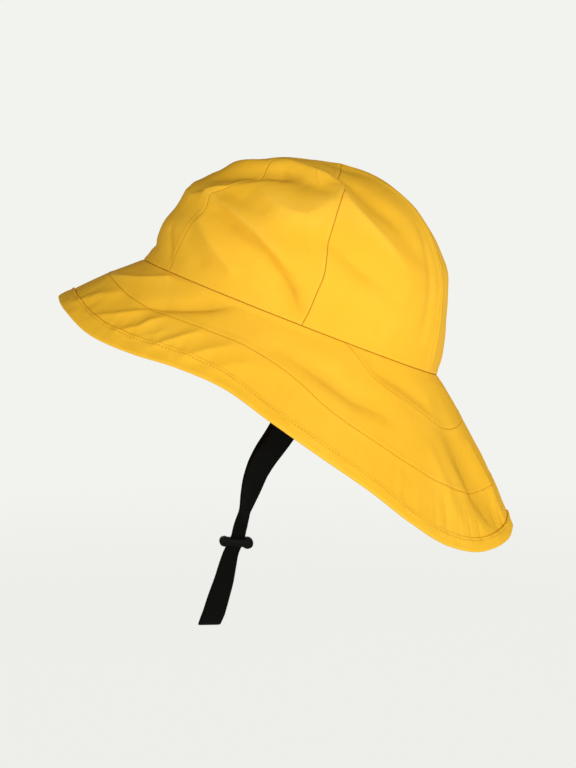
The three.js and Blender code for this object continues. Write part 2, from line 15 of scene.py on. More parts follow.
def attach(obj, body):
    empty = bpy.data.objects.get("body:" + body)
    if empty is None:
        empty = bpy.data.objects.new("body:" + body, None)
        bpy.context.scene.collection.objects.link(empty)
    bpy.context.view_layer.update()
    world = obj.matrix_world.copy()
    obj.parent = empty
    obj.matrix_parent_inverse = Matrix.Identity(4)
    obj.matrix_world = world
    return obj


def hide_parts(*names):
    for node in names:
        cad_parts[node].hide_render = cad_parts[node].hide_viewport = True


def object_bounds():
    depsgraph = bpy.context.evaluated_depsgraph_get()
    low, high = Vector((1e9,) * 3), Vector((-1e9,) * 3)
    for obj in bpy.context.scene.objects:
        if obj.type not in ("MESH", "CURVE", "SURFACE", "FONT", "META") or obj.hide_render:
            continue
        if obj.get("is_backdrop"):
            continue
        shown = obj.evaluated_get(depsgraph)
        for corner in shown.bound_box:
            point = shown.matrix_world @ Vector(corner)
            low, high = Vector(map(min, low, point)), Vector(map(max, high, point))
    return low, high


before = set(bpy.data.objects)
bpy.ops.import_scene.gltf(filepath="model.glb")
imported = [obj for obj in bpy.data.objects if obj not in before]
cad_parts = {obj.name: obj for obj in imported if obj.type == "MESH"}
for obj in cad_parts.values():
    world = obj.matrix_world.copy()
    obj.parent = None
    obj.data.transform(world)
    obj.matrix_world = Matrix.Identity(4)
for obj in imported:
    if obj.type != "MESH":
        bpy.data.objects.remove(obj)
cad_low, cad_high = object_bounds()

# Head opening and crown
HEAD_LENGTH = 209.0
HEAD_WIDTH = 166.0
CROWN_HEIGHT = 107.0
APEX_FORWARD = 6.0
CROWN_WALL = 1.2
GORE_PUFF = 0.6
PUFF_FULLNESS = 0.7
GORE_LENGTH = CROWN_HEIGHT * 1.55
GORE_WIDTH = 110.0

# Brim and hem
BRIM_FRONT = 61.0
BRIM_BACK = 112.5
BRIM_WALL = 1.6
HEM_WIDTH = 12.5
HEM_THICKNESS = 2.8
GUSSET_START = 108.0
GUSSET_TAPER = 1.2

# Columns of the meshes round the brim
RING_COLUMNS = 680
GUSSET_COLUMNS = 300
HEM_COLUMNS = 1500

# Lengths in mm that the cloth's UVs take for a degree of turn, and for a row of the hem
BRIM_PER_DEGREE = 2.0
HEM_PER_DEGREE = 2.4
HEM_PER_ROW = 0.9

# Seams: how far the cloth is tucked in at the head opening, how near the crown's and the brim's
# edges come to its plane, the finest steps of the meshes beside a seam, the groove that a seam
# makes, the line of dirt in it, and the allowance turned in behind it
TUCK_IN = 0.5
OPENING_GAP = 0.02
SEAM_STEP = 0.14
GROOVE_DEPTH = 0.42
GROOVE_WIDTH = 0.3
SEAM_WIDTH = 0.34
ALLOWANCE_DEPTH = 0.45
ALLOWANCE_WIDTH = 4.6

# Where folds die away toward the seams and the middle of the top
FOLD_START = 0.08
CROWN_FOLD_END = 0.88
BRIM_FOLD_END = 0.8

# Chin strap and slide
STRAP_WIDTH = 15.0
STRAP_THICKNESS = 1.2
STRAP_BACK = 29.0
STRAP_DROP = 154.0
STRAP_ANCHOR = 16.0
TAIL_DROP = 58.5
TAIL_RADIUS = 3.5
LAYER_GAP = 0.8
LAYER_MIDDLE = (LAYER_GAP + STRAP_THICKNESS) / 2
SLIDE_ENDS = 10.0
SLIDE_DEPTH = 9.0
SLIDE_FRONT_RADIUS = 3.1
SLIDE_BACK_RADIUS = 3.7
SLIDE_NECK = 5.4
SLIDE_TILT = 17.0
SLOT_CLEARANCE = 0.4

# How the hat sits: its back hangs lower than its front
HAT_PITCH = math.radians(21.6)

# Stitches of the hem
STITCH_ROW = 2.0
STITCH_PITCH = 2.4
STITCH_LENGTH = 1.75
THREAD = 0.34


def table(names, rows):
    """Columns of a table by name."""
    return dict(zip(names.split(), np.array(rows, float).T))


crown_sections = table("rise frontReach sideReach backReach frontHeight sideHeight backHeight", [
    (0, 1, 1, 1, 0, 0, 0),
    (0.07, 0.972, 0.985, 0.992, 0.1, 0.104, 0.108),
    (0.2, 0.962, 0.97, 0.946, 0.296, 0.306, 0.318),
    (0.35, 0.892, 0.9, 0.86, 0.512, 0.53, 0.548),
    (0.5, 0.745, 0.765, 0.72, 0.695, 0.72, 0.746),
    (0.65, 0.55, 0.575, 0.535, 0.829, 0.862, 0.9),
    (0.8, 0.326, 0.345, 0.31, 0.921, 0.945, 0.984),
    (0.9, 0.165, 0.175, 0.155, 0.966, 0.976, 1.006),
    (1, 0, 0, 0, 1, 1, 1),
])

brim_sections = table("turn growth slope sag join hem", [
    (0, 0.02, 44.6, 0.016, 0.415, 1),
    (15, 0.076, 47, 0.014, 0.423, 1),
    (30, 0.136, 53.5, 0.015, 0.448, 1),
    (45, 0.087, 57, 0.015, 0.472, 0.96),
    (60, 0.029, 56, 0.008, 0.472, 0.96),
    (75, 0.058, 55, 0, 0.46, 0.92),
    (90, 0.252, 55.5, 0, 0.487, 0.88),
    (105, 0.447, 56.5, 0.006, 0.6, 0.84),
    (120, 0.65, 57, 0.01, 0.638, 0.8),
    (135, 0.883, 58, 0.015, 0.642, 0.76),
    (150, 1.087, 56.5, 0.021, 0.66, 0.76),
    (160, 1.175, 52, 0.025, 0.675, 0.76),
    (170, 1.15, 45, 0.025, 0.685, 0.76),
    (180, 1.045, 41, 0.027, 0.695, 0.76),
])

gusset_sections = table("turn share", [
    (GUSSET_START - GUSSET_TAPER, 0),
    (GUSSET_START, 0.015),
    (114, 0.11),
    (120, 0.18),
    (135, 0.235),
    (150, 0.295),
    (160, 0.315),
    (170, 0.3),
    (180, 0.27),
])

# Gores of the crown: the turn at which each starts, and the next one's
gores = [
    ("crown_gore_front_left", 32, 89),
    ("crown_gore_back_left", 89, 150),
    ("crown_gore_back", 150, 210),
    ("crown_gore_back_right", 210, 271),
    ("crown_gore_front_right", 271, 328),
    ("crown_gore_front", 328, 392),
]

# How far each pair of seams wanders on its way up the crown, in degrees toward the back
seam_courses = table("rise front side back", [
    (0, 0, 0.6, 3.4),
    (0.05, -2.4, 1.3, 2.2),
    (0.13, -2.8, 1.6, 1.6),
    (0.21, -1.6, 1.8, 1.8),
    (0.28, 0.6, 0.6, 2.4),
    (0.34, 0.2, -0.5, 3.8),
    (0.37, 1, -0.7, 4.2),
    (0.42, 3, -0.9, 4.6),
    (0.46, 5.4, -1, 4.6),
    (0.51, 7.6, -1, 4.6),
    (0.56, 7.6, -0.9, 4.6),
    (0.62, 4, -0.6, 4.4),
    (0.66, 1.5, -4.2, 4.2),
    (0.71, 0.5, -5.4, 3.8),
    (0.8, 0, -5, 3.4),
    (0.9, 0, -5.5, 1.4),
    (1, 0, -5.5, 0),
])

# Folds of the crown. Each runs along places of turn, rise and strength, with half widths above
# and below the line in mm, a lift in mm that is outward if positive, and how crisp its crest is.
crown_folds = [
    # Long ridge over the wearer's left temple, the valleys beside it and a softer one below
    ([(29, 0.35, 0.8), (42, 0.33, 1), (52, 0.302, 1), (61, 0.272, 1), (69, 0.23, 0.9), (76, 0.192, 0.5)],
     8, 5, 4.2, 0.85),
    ([(36, 0.405, 0.8), (47, 0.387, 1), (57, 0.366, 0.6)], 10, 5, -2.4, 0.2),
    ([(40, 0.298, 0.4), (50, 0.27, 0.9), (61, 0.236, 1), (69, 0.206, 1), (76, 0.162, 1.1),
     (82, 0.112, 1.2), (86, 0.06, 0.9)], 4, 10, -3.8, 0.7),
    ([(34, 0.23, 0.8), (46, 0.165, 1), (58, 0.104, 0.8)], 5, 7, 3.2, 0.6),
    ([(33, 0.15, 0.6), (44, 0.09, 0.8)], 6, 6, -1.2, 0.1),
    # Deep tuck across the front: the cloth dips under and comes out again at a crisp lip
    ([(2, 0.43, 0.5), (14, 0.448, 0.9), (27, 0.488, 1), (35, 0.522, 0.9), (43, 0.552, 0.8),
     (49, 0.585, 0.7), (55, 0.625, 0.4)], 9, 9, -4.6, 0.2),
    ([(6, 0.335, 0.5), (18, 0.322, 0.9), (27, 0.345, 1), (31, 0.395, 0.9), (34, 0.42, 0.4)],
     5, 9, 2.6, 0.9),
    ([(31, 0.405, 0.4), (36, 0.432, 1), (42, 0.452, 1), (47, 0.478, 0.7), (52, 0.52, 0.2)],
     11, 8, 2, 0.6),
    ([(8, 0.555, 0.5), (20, 0.59, 0.8), (32, 0.63, 0.6), (46, 0.67, 0.3)], 7, 7, 2, 0.2),
    # Hollow in front of the seam over the ear, its soft lower lip and its upper rim
    ([(44, 0.57, 0.5), (51, 0.6, 0.9), (60, 0.602, 1), (68, 0.59, 1.1), (75, 0.59, 0.9), (84, 0.64, 0.3)],
     9, 12, -4.6, 0.1),
    ([(50, 0.47, 0.5), (57, 0.43, 0.8), (64, 0.404, 1), (71, 0.392, 1.1), (77, 0.404, 1.1),
     (81, 0.455, 0.9), (86, 0.57, 0.5)], 11, 9, 3.2, 0.45),
    ([(28, 0.68, 0.4), (46, 0.68, 0.9), (62, 0.675, 1.1), (75, 0.672, 1.2), (87, 0.64, 0.9)],
     9, 9, 2.2, 0.8),
    ([(62, 0.91, 1), (84, 0.91, 1)], 12, 14, -1.4, 0),
    # Crisp fold that runs back from the seam over the ear, and the slope behind it
    ([(86, 0.605, 0.8), (92, 0.545, 1), (97, 0.512, 1), (103, 0.478, 1), (111, 0.435, 0.85),
     (118, 0.396, 0.5), (126, 0.34, 0.15)], 14, 20, 5, 1),
    ([(99, 0.65, 1), (118, 0.555, 1), (134, 0.43, 0.5)], 10, 9, -2.2, 0),
    ([(90, 0.335, 0.9), (97, 0.306, 1), (105, 0.278, 1), (114, 0.26, 0.5)], 9, 5, -2.5, 0.3),
    ([(92, 0.24, 0.7), (106, 0.21, 0.8)], 7, 9, 1.2, 0),
    ([(155, 0.03, 0.8), (153.5, 0.13, 1), (154, 0.28, 1), (156, 0.42, 1), (156, 0.58, 1),
     (153, 0.79, 0.6)], 7, 7, 1.3, 0.9),
    ([(141, 0.12, 0.6), (142, 0.35, 1), (143, 0.56, 0.6)], 5, 5, -1.3, 0.1),
    # Front: an upright crease, a pinch above the base, and flatter cloth up to a corner
    ([(17, 0.16, 0.9), (23, 0.1, 1), (31, 0.02, 0.8)], 3, 3, -1.1, 0.8),
    ([(-12, 0.078, 0.8), (2, 0.078, 1), (12, 0.06, 0.6)], 3, 3, -1.4, 0.6),
    ([(-16, 0.27, 1), (2, 0.26, 1), (16, 0.24, 0.6)], 13, 9, -2, 0),
    ([(-14, 0.395, 1), (0, 0.375, 1), (12, 0.352, 0.5)], 5, 9, 1.3, 0.8),
    ([(-20, 0.52, 1), (6, 0.5, 0.6)], 10, 7, -1.6, 0),
    # Top, back and the wearer's right
    ([(300, 0.68, 0.8), (340, 0.64, 1), (20, 0.69, 0.8)], 14, 14, -1.2, 0),
    ([(192, 0.22, 1), (168, 0.22, 1)], 22, 22, -1.8, 0),
    ([(322, 0.34, 1), (304, 0.3, 1), (284, 0.24, 0.6)], 9, 5, 3.2, 0.8),
    ([(318, 0.29, 0.6), (300, 0.245, 1), (282, 0.16, 0.8)], 4, 9, -2.6, 0.6),
    ([(310, 0.5, 0.8), (296, 0.48, 1), (280, 0.51, 0.8)], 7, 12, -4.2, 0.3),
    ([(270, 0.6, 0.9), (256, 0.52, 1), (244, 0.47, 0.8), (234, 0.39, 0.4)], 14, 18, 4, 0.9),
    ([(268, 0.31, 0.8), (254, 0.26, 0.9)], 8, 6, -2, 0.2),
    ([(226, 0.2, 0.7), (204, 0.26, 1), (184, 0.23, 0.5)], 7, 9, -1.6, 0.3),
    ([(196, 0.48, 0.6), (178, 0.42, 1), (164, 0.33, 0.6)], 8, 8, 1.4, 0.4),
]

# Folds of the brim in the same way, with the share of the way out in place of the rise: the
# first half width is the one toward the hem.
brim_folds = [
    # Pleat and pinches in front of the face, on the wearer's left
    ([(3, 0.47, 0.3), (11, 0.42, 0.9), (19, 0.312, 1), (27, 0.202, 1), (35, 0.085, 0.8)], 11, 7, 3.2, 1),
    ([(38, 0.47, 0.4), (44, 0.4, 0.9), (51, 0.312, 1), (58, 0.2, 0.9), (64, 0.09, 0.3)],
     5, 11, -3.8, 0.8),
    ([(15, 0.9, 0.5), (19, 0.65, 1), (24, 0.5, 0.5)], 5, 5, 1.7, 0.3),
    ([(27, 0.8, 0.6), (33, 0.665, 1), (37, 0.565, 0.9), (40, 0.49, 0.3)], 6, 3.5, 2.2, 0.9),
    ([(37, 0.84, 0.7), (42, 0.722, 1), (44, 0.612, 1), (47, 0.51, 0.4)], 7, 5, 2.4, 0.9),
    ([(44, 0.84, 0.4), (48, 0.735, 0.7), (51, 0.64, 0.4)], 6, 4, 1.5, 0.7),
    ([(51, 0.85, 0.7), (55, 0.72, 1), (60, 0.54, 0.7)], 7, 5, 2.5, 0.9),
    ([(61, 0.86, 0.8), (65.5, 0.705, 1), (71, 0.54, 0.5)], 7, 7, 2.4, 0.8),
    ([(70, 0.86, 0.6), (75, 0.7, 0.8), (81, 0.56, 0.3)], 6, 8, 1.8, 0.6),
    # Long soft fold past the ear, and those that run down the tail
    ([(86, 0.31, 0.4), (102, 0.38, 1), (112, 0.422, 1), (124, 0.408, 0.6)], 6, 11, -3.4, 0.35),
    ([(120, 0.13, 0.6), (131, 0.15, 1), (137, 0.174, 1), (145, 0.205, 0.6)], 6, 7, -2.2, 0.3),
    ([(156, 0.33, 0.5), (160.5, 0.5, 1), (164, 0.694, 1), (166.5, 0.79, 0.9), (169, 0.93, 0.8)],
     11, 11, -4.2, 0.1),
    ([(160, 0.5, 0.4), (162.6, 0.694, 1), (164.7, 0.79, 1), (167.7, 0.93, 1)], 3.2, 3.2, -1.1, 0.2),
    ([(155, 0.43, 0.3), (159, 0.576, 0.8), (161.4, 0.706, 1), (163.2, 0.822, 0.9), (165, 0.93, 0.6)],
     3, 3, -0.6, 0.2),
    ([(169, 0.42, 0.6), (171, 0.65, 1), (172, 0.86, 0.6)], 5, 5, 1.5, 0.3),
    ([(145, 0.48, 0.6), (151, 0.7, 1), (154, 0.88, 0.7)], 6, 6, 1.2, 0.1),
    # The wearer's right and the back
    ([(334, 0.8, 0.6), (328, 0.64, 1), (322, 0.48, 0.5)], 5, 7, -2.5, 0.7),
    ([(306, 0.84, 0.8), (299, 0.66, 1), (290, 0.44, 0.6)], 5, 7, -2.8, 0.6),
    ([(322, 0.36, 0.6), (308, 0.24, 1), (296, 0.08, 0.6)], 5, 8, -2.7, 0.7),
    ([(268, 0.34, 0.7), (252, 0.39, 1), (236, 0.41, 0.7)], 7, 10, -3, 0.3),
    ([(206, 0.42, 0.6), (201, 0.66, 1), (195, 0.92, 1)], 6, 8, -3, 0.4),
    ([(186, 0.35, 0.5), (183, 0.62, 1), (184, 0.9, 0.8)], 6, 6, -1.8, 0.4),
    ([(190, 0.5, 0.8), (189, 0.86, 0.8)], 6, 6, 1.2, 0.1),
]

# Unevenness of soft cloth: height and wavelength in mm, and a seed
crown_ripples = [(0.45, 75, 3), (0.12, 24, 4)]
brim_ripples = [(0.35, 70, 5), (0.1, 22, 6)]
hem_ripples = [(0.16, 16, 8)]

# Waves round the brim that make its finest puckers, by their number
pucker_waves = (41, 53, 67, 88, 107)

# Short creases that the hem's stitching gathers: turn, share of the way out at which each
# starts, and depth and half width in mm
hem_creases = [
    (135.2, 0.76, 0.12, 1.8), (144.8, 0.74, 0.2, 1.9), (149.2, 0.72, 0.26, 1.9),
    (153.6, 0.75, 0.34, 1.9), (157.6, 0.76, 0.4, 1.8), (161.2, 0.79, 0.4, 1.7),
    (168.6, 0.8, 0.34, 1.6), (171.4, 0.76, 0.52, 1.8), (174.4, 0.82, 0.46, 1.7), (178, 0.8, 0.42, 1.8),
    (181.5, 0.76, 0.5, 1.7), (185.5, 0.8, 0.38, 1.5), (190, 0.72, 0.48, 1.7), (195, 0.79, 0.42, 1.5),
    (199.5, 0.74, 0.44, 1.7), (205, 0.7, 0.38, 1.8), (211, 0.76, 0.32, 1.6), (217, 0.78, 0.24, 1.5),
    (20, 0.84, 0.2, 1.6), (31, 0.83, 0.24, 1.6), (47, 0.84, 0.24, 1.6), (62, 0.83, 0.22, 1.6),
    (300, 0.84, 0.22, 1.6), (318, 0.83, 0.24, 1.6), (344, 0.84, 0.2, 1.6),
]

strap_run = table("drop spread left right width twist hold", [
    (0.04, 0.985, 0.98, 1, 1, 0, 0.9),
    (0.12, 0.9, 0.93, 1.03, 1, 0, 0.5),
    (0.26, 0.75, 0.82, 1.02, 1, 0, 0.1),
    (0.48, 0.515, 0.66, 0.86, 1, 24, 0),
    (0.65, 0.34, 0.51, 0.65, 0.98, 27, 0),
    (0.73, 0.26, 0.53, 0.64, 0.95, 32, 0),
    (0.8, 0.185, 0.58, 0.66, 0.88, 48, 0),
    (0.86, 0.12, 0.63, 0.69, 0.78, 58, 0),
    (0.91, 0.062, 0.67, 0.7, 0.68, 40, 0),
    (0.95, 0.02, 0.71, 0.72, 0.62, 12, 0),
    (0.975, 0, 0.73, 0.735, 0.62, 0, 0),
])

strap_tail = table("drop part back width", [
    (0, 0, 0.74, 0.62),
    (0.05, 0, 0.73, 0.62),
    (0.12, 0.05, 0.72, 0.66),
    (0.28, 0.15, 0.75, 0.77),
    (0.46, 0.3, 0.8, 0.86),
    (0.66, 0.55, 0.83, 0.93),
    (0.86, 0.95, 0.86, 1),
])


def smooth(rows, place, column, at, level_ends=False):
    """Values of a column between the rows of a table, on a smooth curve through them."""
    x, y = rows[place], rows[column]
    span = np.diff(x)
    rate = np.diff(y) / span
    slope = np.empty_like(y)
    slope[1:-1] = (rate[:-1] * span[1:] + rate[1:] * span[:-1]) / (span[:-1] + span[1:])
    slope[[0, -1]] = 0 if level_ends else rate[[0, -1]]
    at = np.asarray(at, float)
    k = np.clip(np.searchsorted(x, at, side="right") - 1, 0, len(span) - 1)
    t = np.clip((at - x[k]) / span[k], 0, 1)
    leave, arrive, change = slope[k] * span[k], slope[k + 1] * span[k], y[k + 1] - y[k]
    bend = 3 * change - 2 * leave - arrive
    return y[k] + t * leave + t**2 * bend + t**3 * (leave + arrive - 2 * change)


def mix(a, b, share):
    return a + (b - a) * share


def ease(low, high, at):
    """0 below low, 1 above high, and a smooth step between."""
    t = np.clip((at - low) / (high - low), 0, 1)
    return t * t * (3 - 2 * t)


def bump_at(distance, middle, width):
    return np.exp(-(((distance - middle) / width) ** 2))


def turn_between(start, end):
    """Degrees from one turn to another, the short way round."""
    return (end - start + 180) % 360 - 180


def mirrored(turn):
    return np.abs(turn_between(0.0, turn))


def spans(points):
    """Lengths from each point of a row to the next."""
    return np.linalg.norm(np.diff(points, axis=0), axis=-1)


def unit(vectors):
    return vectors / np.maximum(np.linalg.norm(vectors, axis=-1, keepdims=True), 1e-12)


def head_opening(turn):
    """Points on the edge of the head opening, and its outward normals."""
    angle = np.radians(turn)
    sine, cosine, level = np.sin(angle), np.cos(angle), np.zeros_like(angle)
    point = np.stack([HEAD_WIDTH / 2 * sine, -HEAD_LENGTH / 2 * cosine, level], -1)
    return point, unit(np.stack([HEAD_LENGTH * sine, -HEAD_WIDTH * cosine, level], -1))


def plain_crown(turn, rise):
    turn, rise = np.broadcast_arrays(turn, rise)
    angle = np.radians(turn)
    backward, endwise = (1 - np.cos(angle)) / 2, np.cos(angle) ** 2

    def blend(kind):
        columns = (end + kind for end in ("front", "side", "back"))
        front, side, back = (smooth(crown_sections, "rise", column, rise) for column in columns)
        return mix(side, mix(front, back, backward), endwise)

    reach = blend("Reach")
    return np.stack([
        HEAD_WIDTH / 2 * reach * np.sin(angle),
        -HEAD_LENGTH / 2 * reach * np.cos(angle) - APEX_FORWARD * rise**2,
        CROWN_HEIGHT * blend("Height"),
    ], -1)


def brim_at(column, turn):
    return smooth(brim_sections, "turn", column, mirrored(turn), True)


def brim_width(turn):
    return mix(BRIM_FRONT, BRIM_BACK, brim_at("growth", turn))


def plain_brim(turn, out):
    turn, out = np.broadcast_arrays(turn, out)
    width, slope = brim_width(turn), np.radians(brim_at("slope", turn))
    sag = brim_at("sag", turn) * width * 4 * out * (1 - out)
    level = out * width * np.cos(slope) + sag * np.sin(slope)
    base, outward = head_opening(turn)
    point = base + outward * level[..., None]
    point[..., 2] = sag * np.cos(slope) - out * width * np.sin(slope)
    return point


def lie_of(surface, turn, rise):
    """Point, outward normal and mm per degree of turn of a surface."""
    turn, rise = np.broadcast_arrays(np.asarray(turn, float), np.asarray(rise, float))
    across = surface(turn + 0.2, rise) - surface(turn - 0.2, rise)
    up = surface(turn, np.minimum(rise + 0.004, 0.999999)) - surface(turn, np.maximum(rise - 0.004, 0))
    normal = unit(np.cross(across, up))
    if surface is plain_brim:
        normal = -normal
    return surface(turn, rise), normal, np.linalg.norm(across, axis=-1) / 0.4


def fold_height(folds, turn, rise, per_turn, per_rise):
    """Height of all folds at the places of a surface that measures so many mm per turn and rise."""
    height = np.zeros(np.shape(per_turn))
    for line, above, below, lift, crisp in folds:
        nearest = np.full(height.shape, 1e9)
        side = np.zeros(height.shape)
        strength = np.zeros(height.shape)
        for start, end in zip(line, line[1:]):
            x = turn_between(start[0], turn) * per_turn
            y = (rise - start[1]) * per_rise
            run_x = turn_between(start[0], end[0]) * per_turn
            run_y = (end[1] - start[1]) * per_rise
            length = np.hypot(run_x, run_y) + 1e-9
            t = np.clip((x * run_x + y * run_y) / length**2, 0, 1)
            off_x, off_y = x - t * run_x, y - t * run_y
            distance = np.hypot(off_x, off_y)
            closer = distance < nearest
            turned = np.sign(run_x) * (run_x * off_y - run_y * off_x)
            turned = turned / (length * np.maximum(distance, 1e-6))
            side = np.where(closer, turned, side)
            strength = np.where(closer, mix(start[2], end[2], t), strength)
            nearest = np.where(closer, distance, nearest)
        width = mix(below, above, (1 + side) / 2)
        soft = np.exp(-((nearest / width) ** 2))
        keen = np.exp(-(np.sqrt(nearest**2 + 0.64) - 0.8) / (0.6 * width))
        height += lift * strength * mix(soft, keen, crisp)
    return height


def fold_share(rise, fades_from):
    return ease(0, FOLD_START, rise) * (1 - ease(fades_from, 1, rise))


def ripples(rows, points, count=9):
    """Smooth random heights of a table of ripples at points, the same on every run."""
    total = 0.0
    for height, wavelength, seed in rows:
        rng = np.random.default_rng(seed)
        waves = unit(rng.normal(size=(count, 3))) * (2 * np.pi / wavelength)
        waves = waves * rng.uniform(0.7, 1.4, (count, 1))
        phases = rng.uniform(0, 2 * np.pi, count)
        total = total + height * (np.sin(points @ waves.T + phases).sum(-1) / math.sqrt(count / 2))
    return total


def seam_turn(turn, rise):
    """Where a seam of the crown that starts from a turn at the base has got to at a rise."""
    from_front = abs(float(turn_between(0.0, turn)))
    pair = "front" if from_front < 60 else "side" if from_front < 120 else "back"
    side = 1 if turn % 360 < 180 else -1
    return turn + side * smooth(seam_courses, "rise", pair, rise)


def gore_share(turn, rise):
    """Share of the way across its gore that a place of the crown is at."""
    share = np.zeros(np.shape(turn))
    for _, start, end in gores:
        first, last = seam_turn(start, rise), seam_turn(end, rise)
        onward = (turn - first) % 360
        share = np.where(onward < last - first, onward / (last - first), share)
    return share


def crown_form(turn, rise):
    """Point, outward normal, mm per degree, and lift of the cloth at places of the crown."""
    point, normal, per_turn = lie_of(plain_crown, turn, rise)
    turn, rise = np.broadcast_arrays(turn, rise)
    share = gore_share(turn, rise)
    puff = GORE_PUFF * np.clip(np.sin(np.pi * share) * np.sin(np.pi * rise), 0, 1) ** PUFF_FULLNESS
    radius = np.hypot(point[..., 0], point[..., 1] + APEX_FORWARD * rise**2)
    lift = fold_height(crown_folds, turn, rise, radius * math.radians(1), GORE_LENGTH)
    lift = lift + ripples(crown_ripples, point)
    return point, normal, per_turn, puff + fold_share(rise, CROWN_FOLD_END) * lift


def pucker(turn, out):
    """Fine puckers and creases that the hem's stitching draws into the cloth above it."""
    rng = np.random.default_rng(11)
    wave = np.zeros(np.shape(turn))
    for count in pucker_waves:
        wave = wave + np.sin(np.radians(turn) * count + rng.uniform(0, 6.28) + 3.0 * out)
    hem = hem_share(turn)
    flattened = 1 - ease(hem, hem + 0.035, out)
    height = 0.06 * wave * ease(0.45, 0.88, out) * mix(0.2, 1.0, flattened)
    per_turn = math.radians(1) * mix(0.55, 1.0, mirrored(turn) / 180) * (HEAD_LENGTH / 2 + BRIM_BACK * 0.8)
    for middle, start, depth, width in hem_creases:
        off = turn_between(middle, turn) * per_turn / width
        grown = ease(start - 0.03, start + 0.12, out) * mix(0.08, 1.0, flattened)
        height = height - 1.5 * depth * grown / (1 + off**2) ** 1.5
    return height


def brim_form(turn, out):
    """Point, outward normal, and lift of the cloth at places of the brim."""
    point, normal, _ = lie_of(plain_brim, turn, out)
    turn, out = np.broadcast_arrays(turn, out)
    radius = np.hypot(point[..., 0], point[..., 1])
    lift = fold_height(brim_folds, turn, out, radius * math.radians(1), brim_width(turn))
    lift = lift + ripples(brim_ripples, point)
    return point, normal, fold_share(out, BRIM_FOLD_END) * lift + pucker(turn, out)


def hem_share(turn):
    return 1 - HEM_WIDTH * brim_at("hem", turn) / brim_width(turn)


def hem_gape(turn):
    """How far the hem's folded edge stands off the cloth: most at the front and on the tail."""
    at = mirrored(turn)
    return mix(0.2, 1.0, np.maximum(1 - ease(30, 52, at), ease(160, 172, at)))


def gusset_share(turn):
    return smooth(gusset_sections, "turn", "share", mirrored(turn))


def pitched(points, angle):
    """Points turned about the X axis, with the back going down."""
    x, y, z = (points[..., k] for k in range(3))
    c, s = math.cos(angle), math.sin(angle)
    return np.stack([x, y * c + z * s, -y * s + z * c], -1)


def tilted(points):
    """Points of the hat's level frame, in metres, as the hat sits."""
    return pitched(points / 1000, HAT_PITCH)


def graded(length, coarse, growth=1.35):
    """Shares from 0 to 1 along a length, close together at both ends."""
    steps, at, step = [0.0], 0.0, SEAM_STEP
    while at < length / 2:
        at += step
        steps.append(at)
        step = min(step * growth, coarse)
    half = np.array(steps) / at / 2
    return np.concatenate([half, 1 - half[-2::-1]])


def add_object(name, data):
    made = bpy.data.objects.new(name, data)
    bpy.context.scene.collection.objects.link(made)
    return made


def tube_quads(columns, count):
    """Quads of a grid that closes both ways, and a maker of values at their corners."""
    i, j = (grid.ravel() for grid in np.meshgrid(np.arange(columns), np.arange(count), indexing="ij"))

    def corners(value):
        return np.stack([value(i + a, j + b) for a, b in ((0, 0), (1, 0), (1, 1), (0, 1))], 1)

    return corners(lambda column, row: column % columns * count + row % count), corners


def mesh_piece(name, points, quads, uv, materials, inner=None, sharp=50, **marks):
    """A new object of quads, with face-corner UVs in metres and a named value at each point."""
    mesh = bpy.data.meshes.new(name)
    mesh.from_pydata(tilted(points.reshape(-1, 3)).tolist(), [], quads.tolist())
    layer = mesh.uv_layers.new(name="cloth")
    layer.data.foreach_set("uv", (uv.reshape(-1) / 1000).astype(np.float32))
    for key, values in marks.items():
        mark = mesh.attributes.new(key, "FLOAT", "POINT")
        mark.data.foreach_set("value", np.asarray(values, np.float32).reshape(-1))
    for material in materials:
        mesh.materials.append(material)
    if inner is not None:
        mesh.polygons.foreach_set("material_index", inner.astype(np.int32))
    edit = bmesh.new()
    edit.from_mesh(mesh)
    bmesh.ops.remove_doubles(edit, verts=edit.verts, dist=2e-6)
    bmesh.ops.dissolve_degenerate(edit, edges=edit.edges, dist=1e-6)
    edit.to_mesh(mesh)
    edit.free()
    mesh.polygons.foreach_set("use_smooth", np.ones(len(mesh.polygons), bool))
    mesh.set_sharp_from_angle(angle=math.radians(sharp))
    mesh.update()
    return add_object(name, mesh)


def shell(name, outer, inner, across, up, materials, closed=False, **marks):
    """A closed shell between two grids of columns and rows, rows running up. Across and up are
    the cloth's own lengths in mm for its UVs, with one column more where the shell is a ring."""
    columns, rows = outer.shape[:2]
    last = columns if closed else columns - 1
    ring, side, top, end = np.arange(last), np.arange(rows - 1), rows - 1, columns - 1
    i, j = (grid.ravel() for grid in np.meshgrid(ring, side, indexing="ij"))
    strips = [
        (0, (i, j, 0), (i + 1, j, 0), (i + 1, j + 1, 0), (i, j + 1, 0)),
        (1, (i, j, 1), (i, j + 1, 1), (i + 1, j + 1, 1), (i + 1, j, 1)),
        (0, (ring, 0, 0), (ring, 0, 1), (ring + 1, 0, 1), (ring + 1, 0, 0)),
        (0, (ring, top, 0), (ring + 1, top, 0), (ring + 1, top, 1), (ring, top, 1)),
    ]
    if not closed:
        strips += [
            (0, (0, side, 0), (0, side + 1, 0), (0, side + 1, 1), (0, side, 1)),
            (0, (end, side, 0), (end, side, 1), (end, side + 1, 1), (end, side + 1, 0)),
        ]
    vertex, flat, inside = [], [], []
    for within, *corners in strips:
        spots = np.array([np.broadcast_arrays(*corner) for corner in corners])
        column, row, layer = spots.transpose(1, 2, 0)
        vertex.append(column % columns * rows + row + layer * columns * rows)
        flat.append(column * rows + row)
        inside.append(np.full(len(column), within))
    vertex, flat, inside = (np.concatenate(parts) for parts in (vertex, flat, inside))
    uv = np.stack([across.reshape(-1), up.reshape(-1)], -1)[flat]
    points = np.concatenate([outer.reshape(-1, 3), inner.reshape(-1, 3)])
    both = {key: np.concatenate([np.ravel(values)] * 2) for key, values in marks.items()}
    return mesh_piece(name, points, vertex, uv, materials, inside, **both)


# Materials


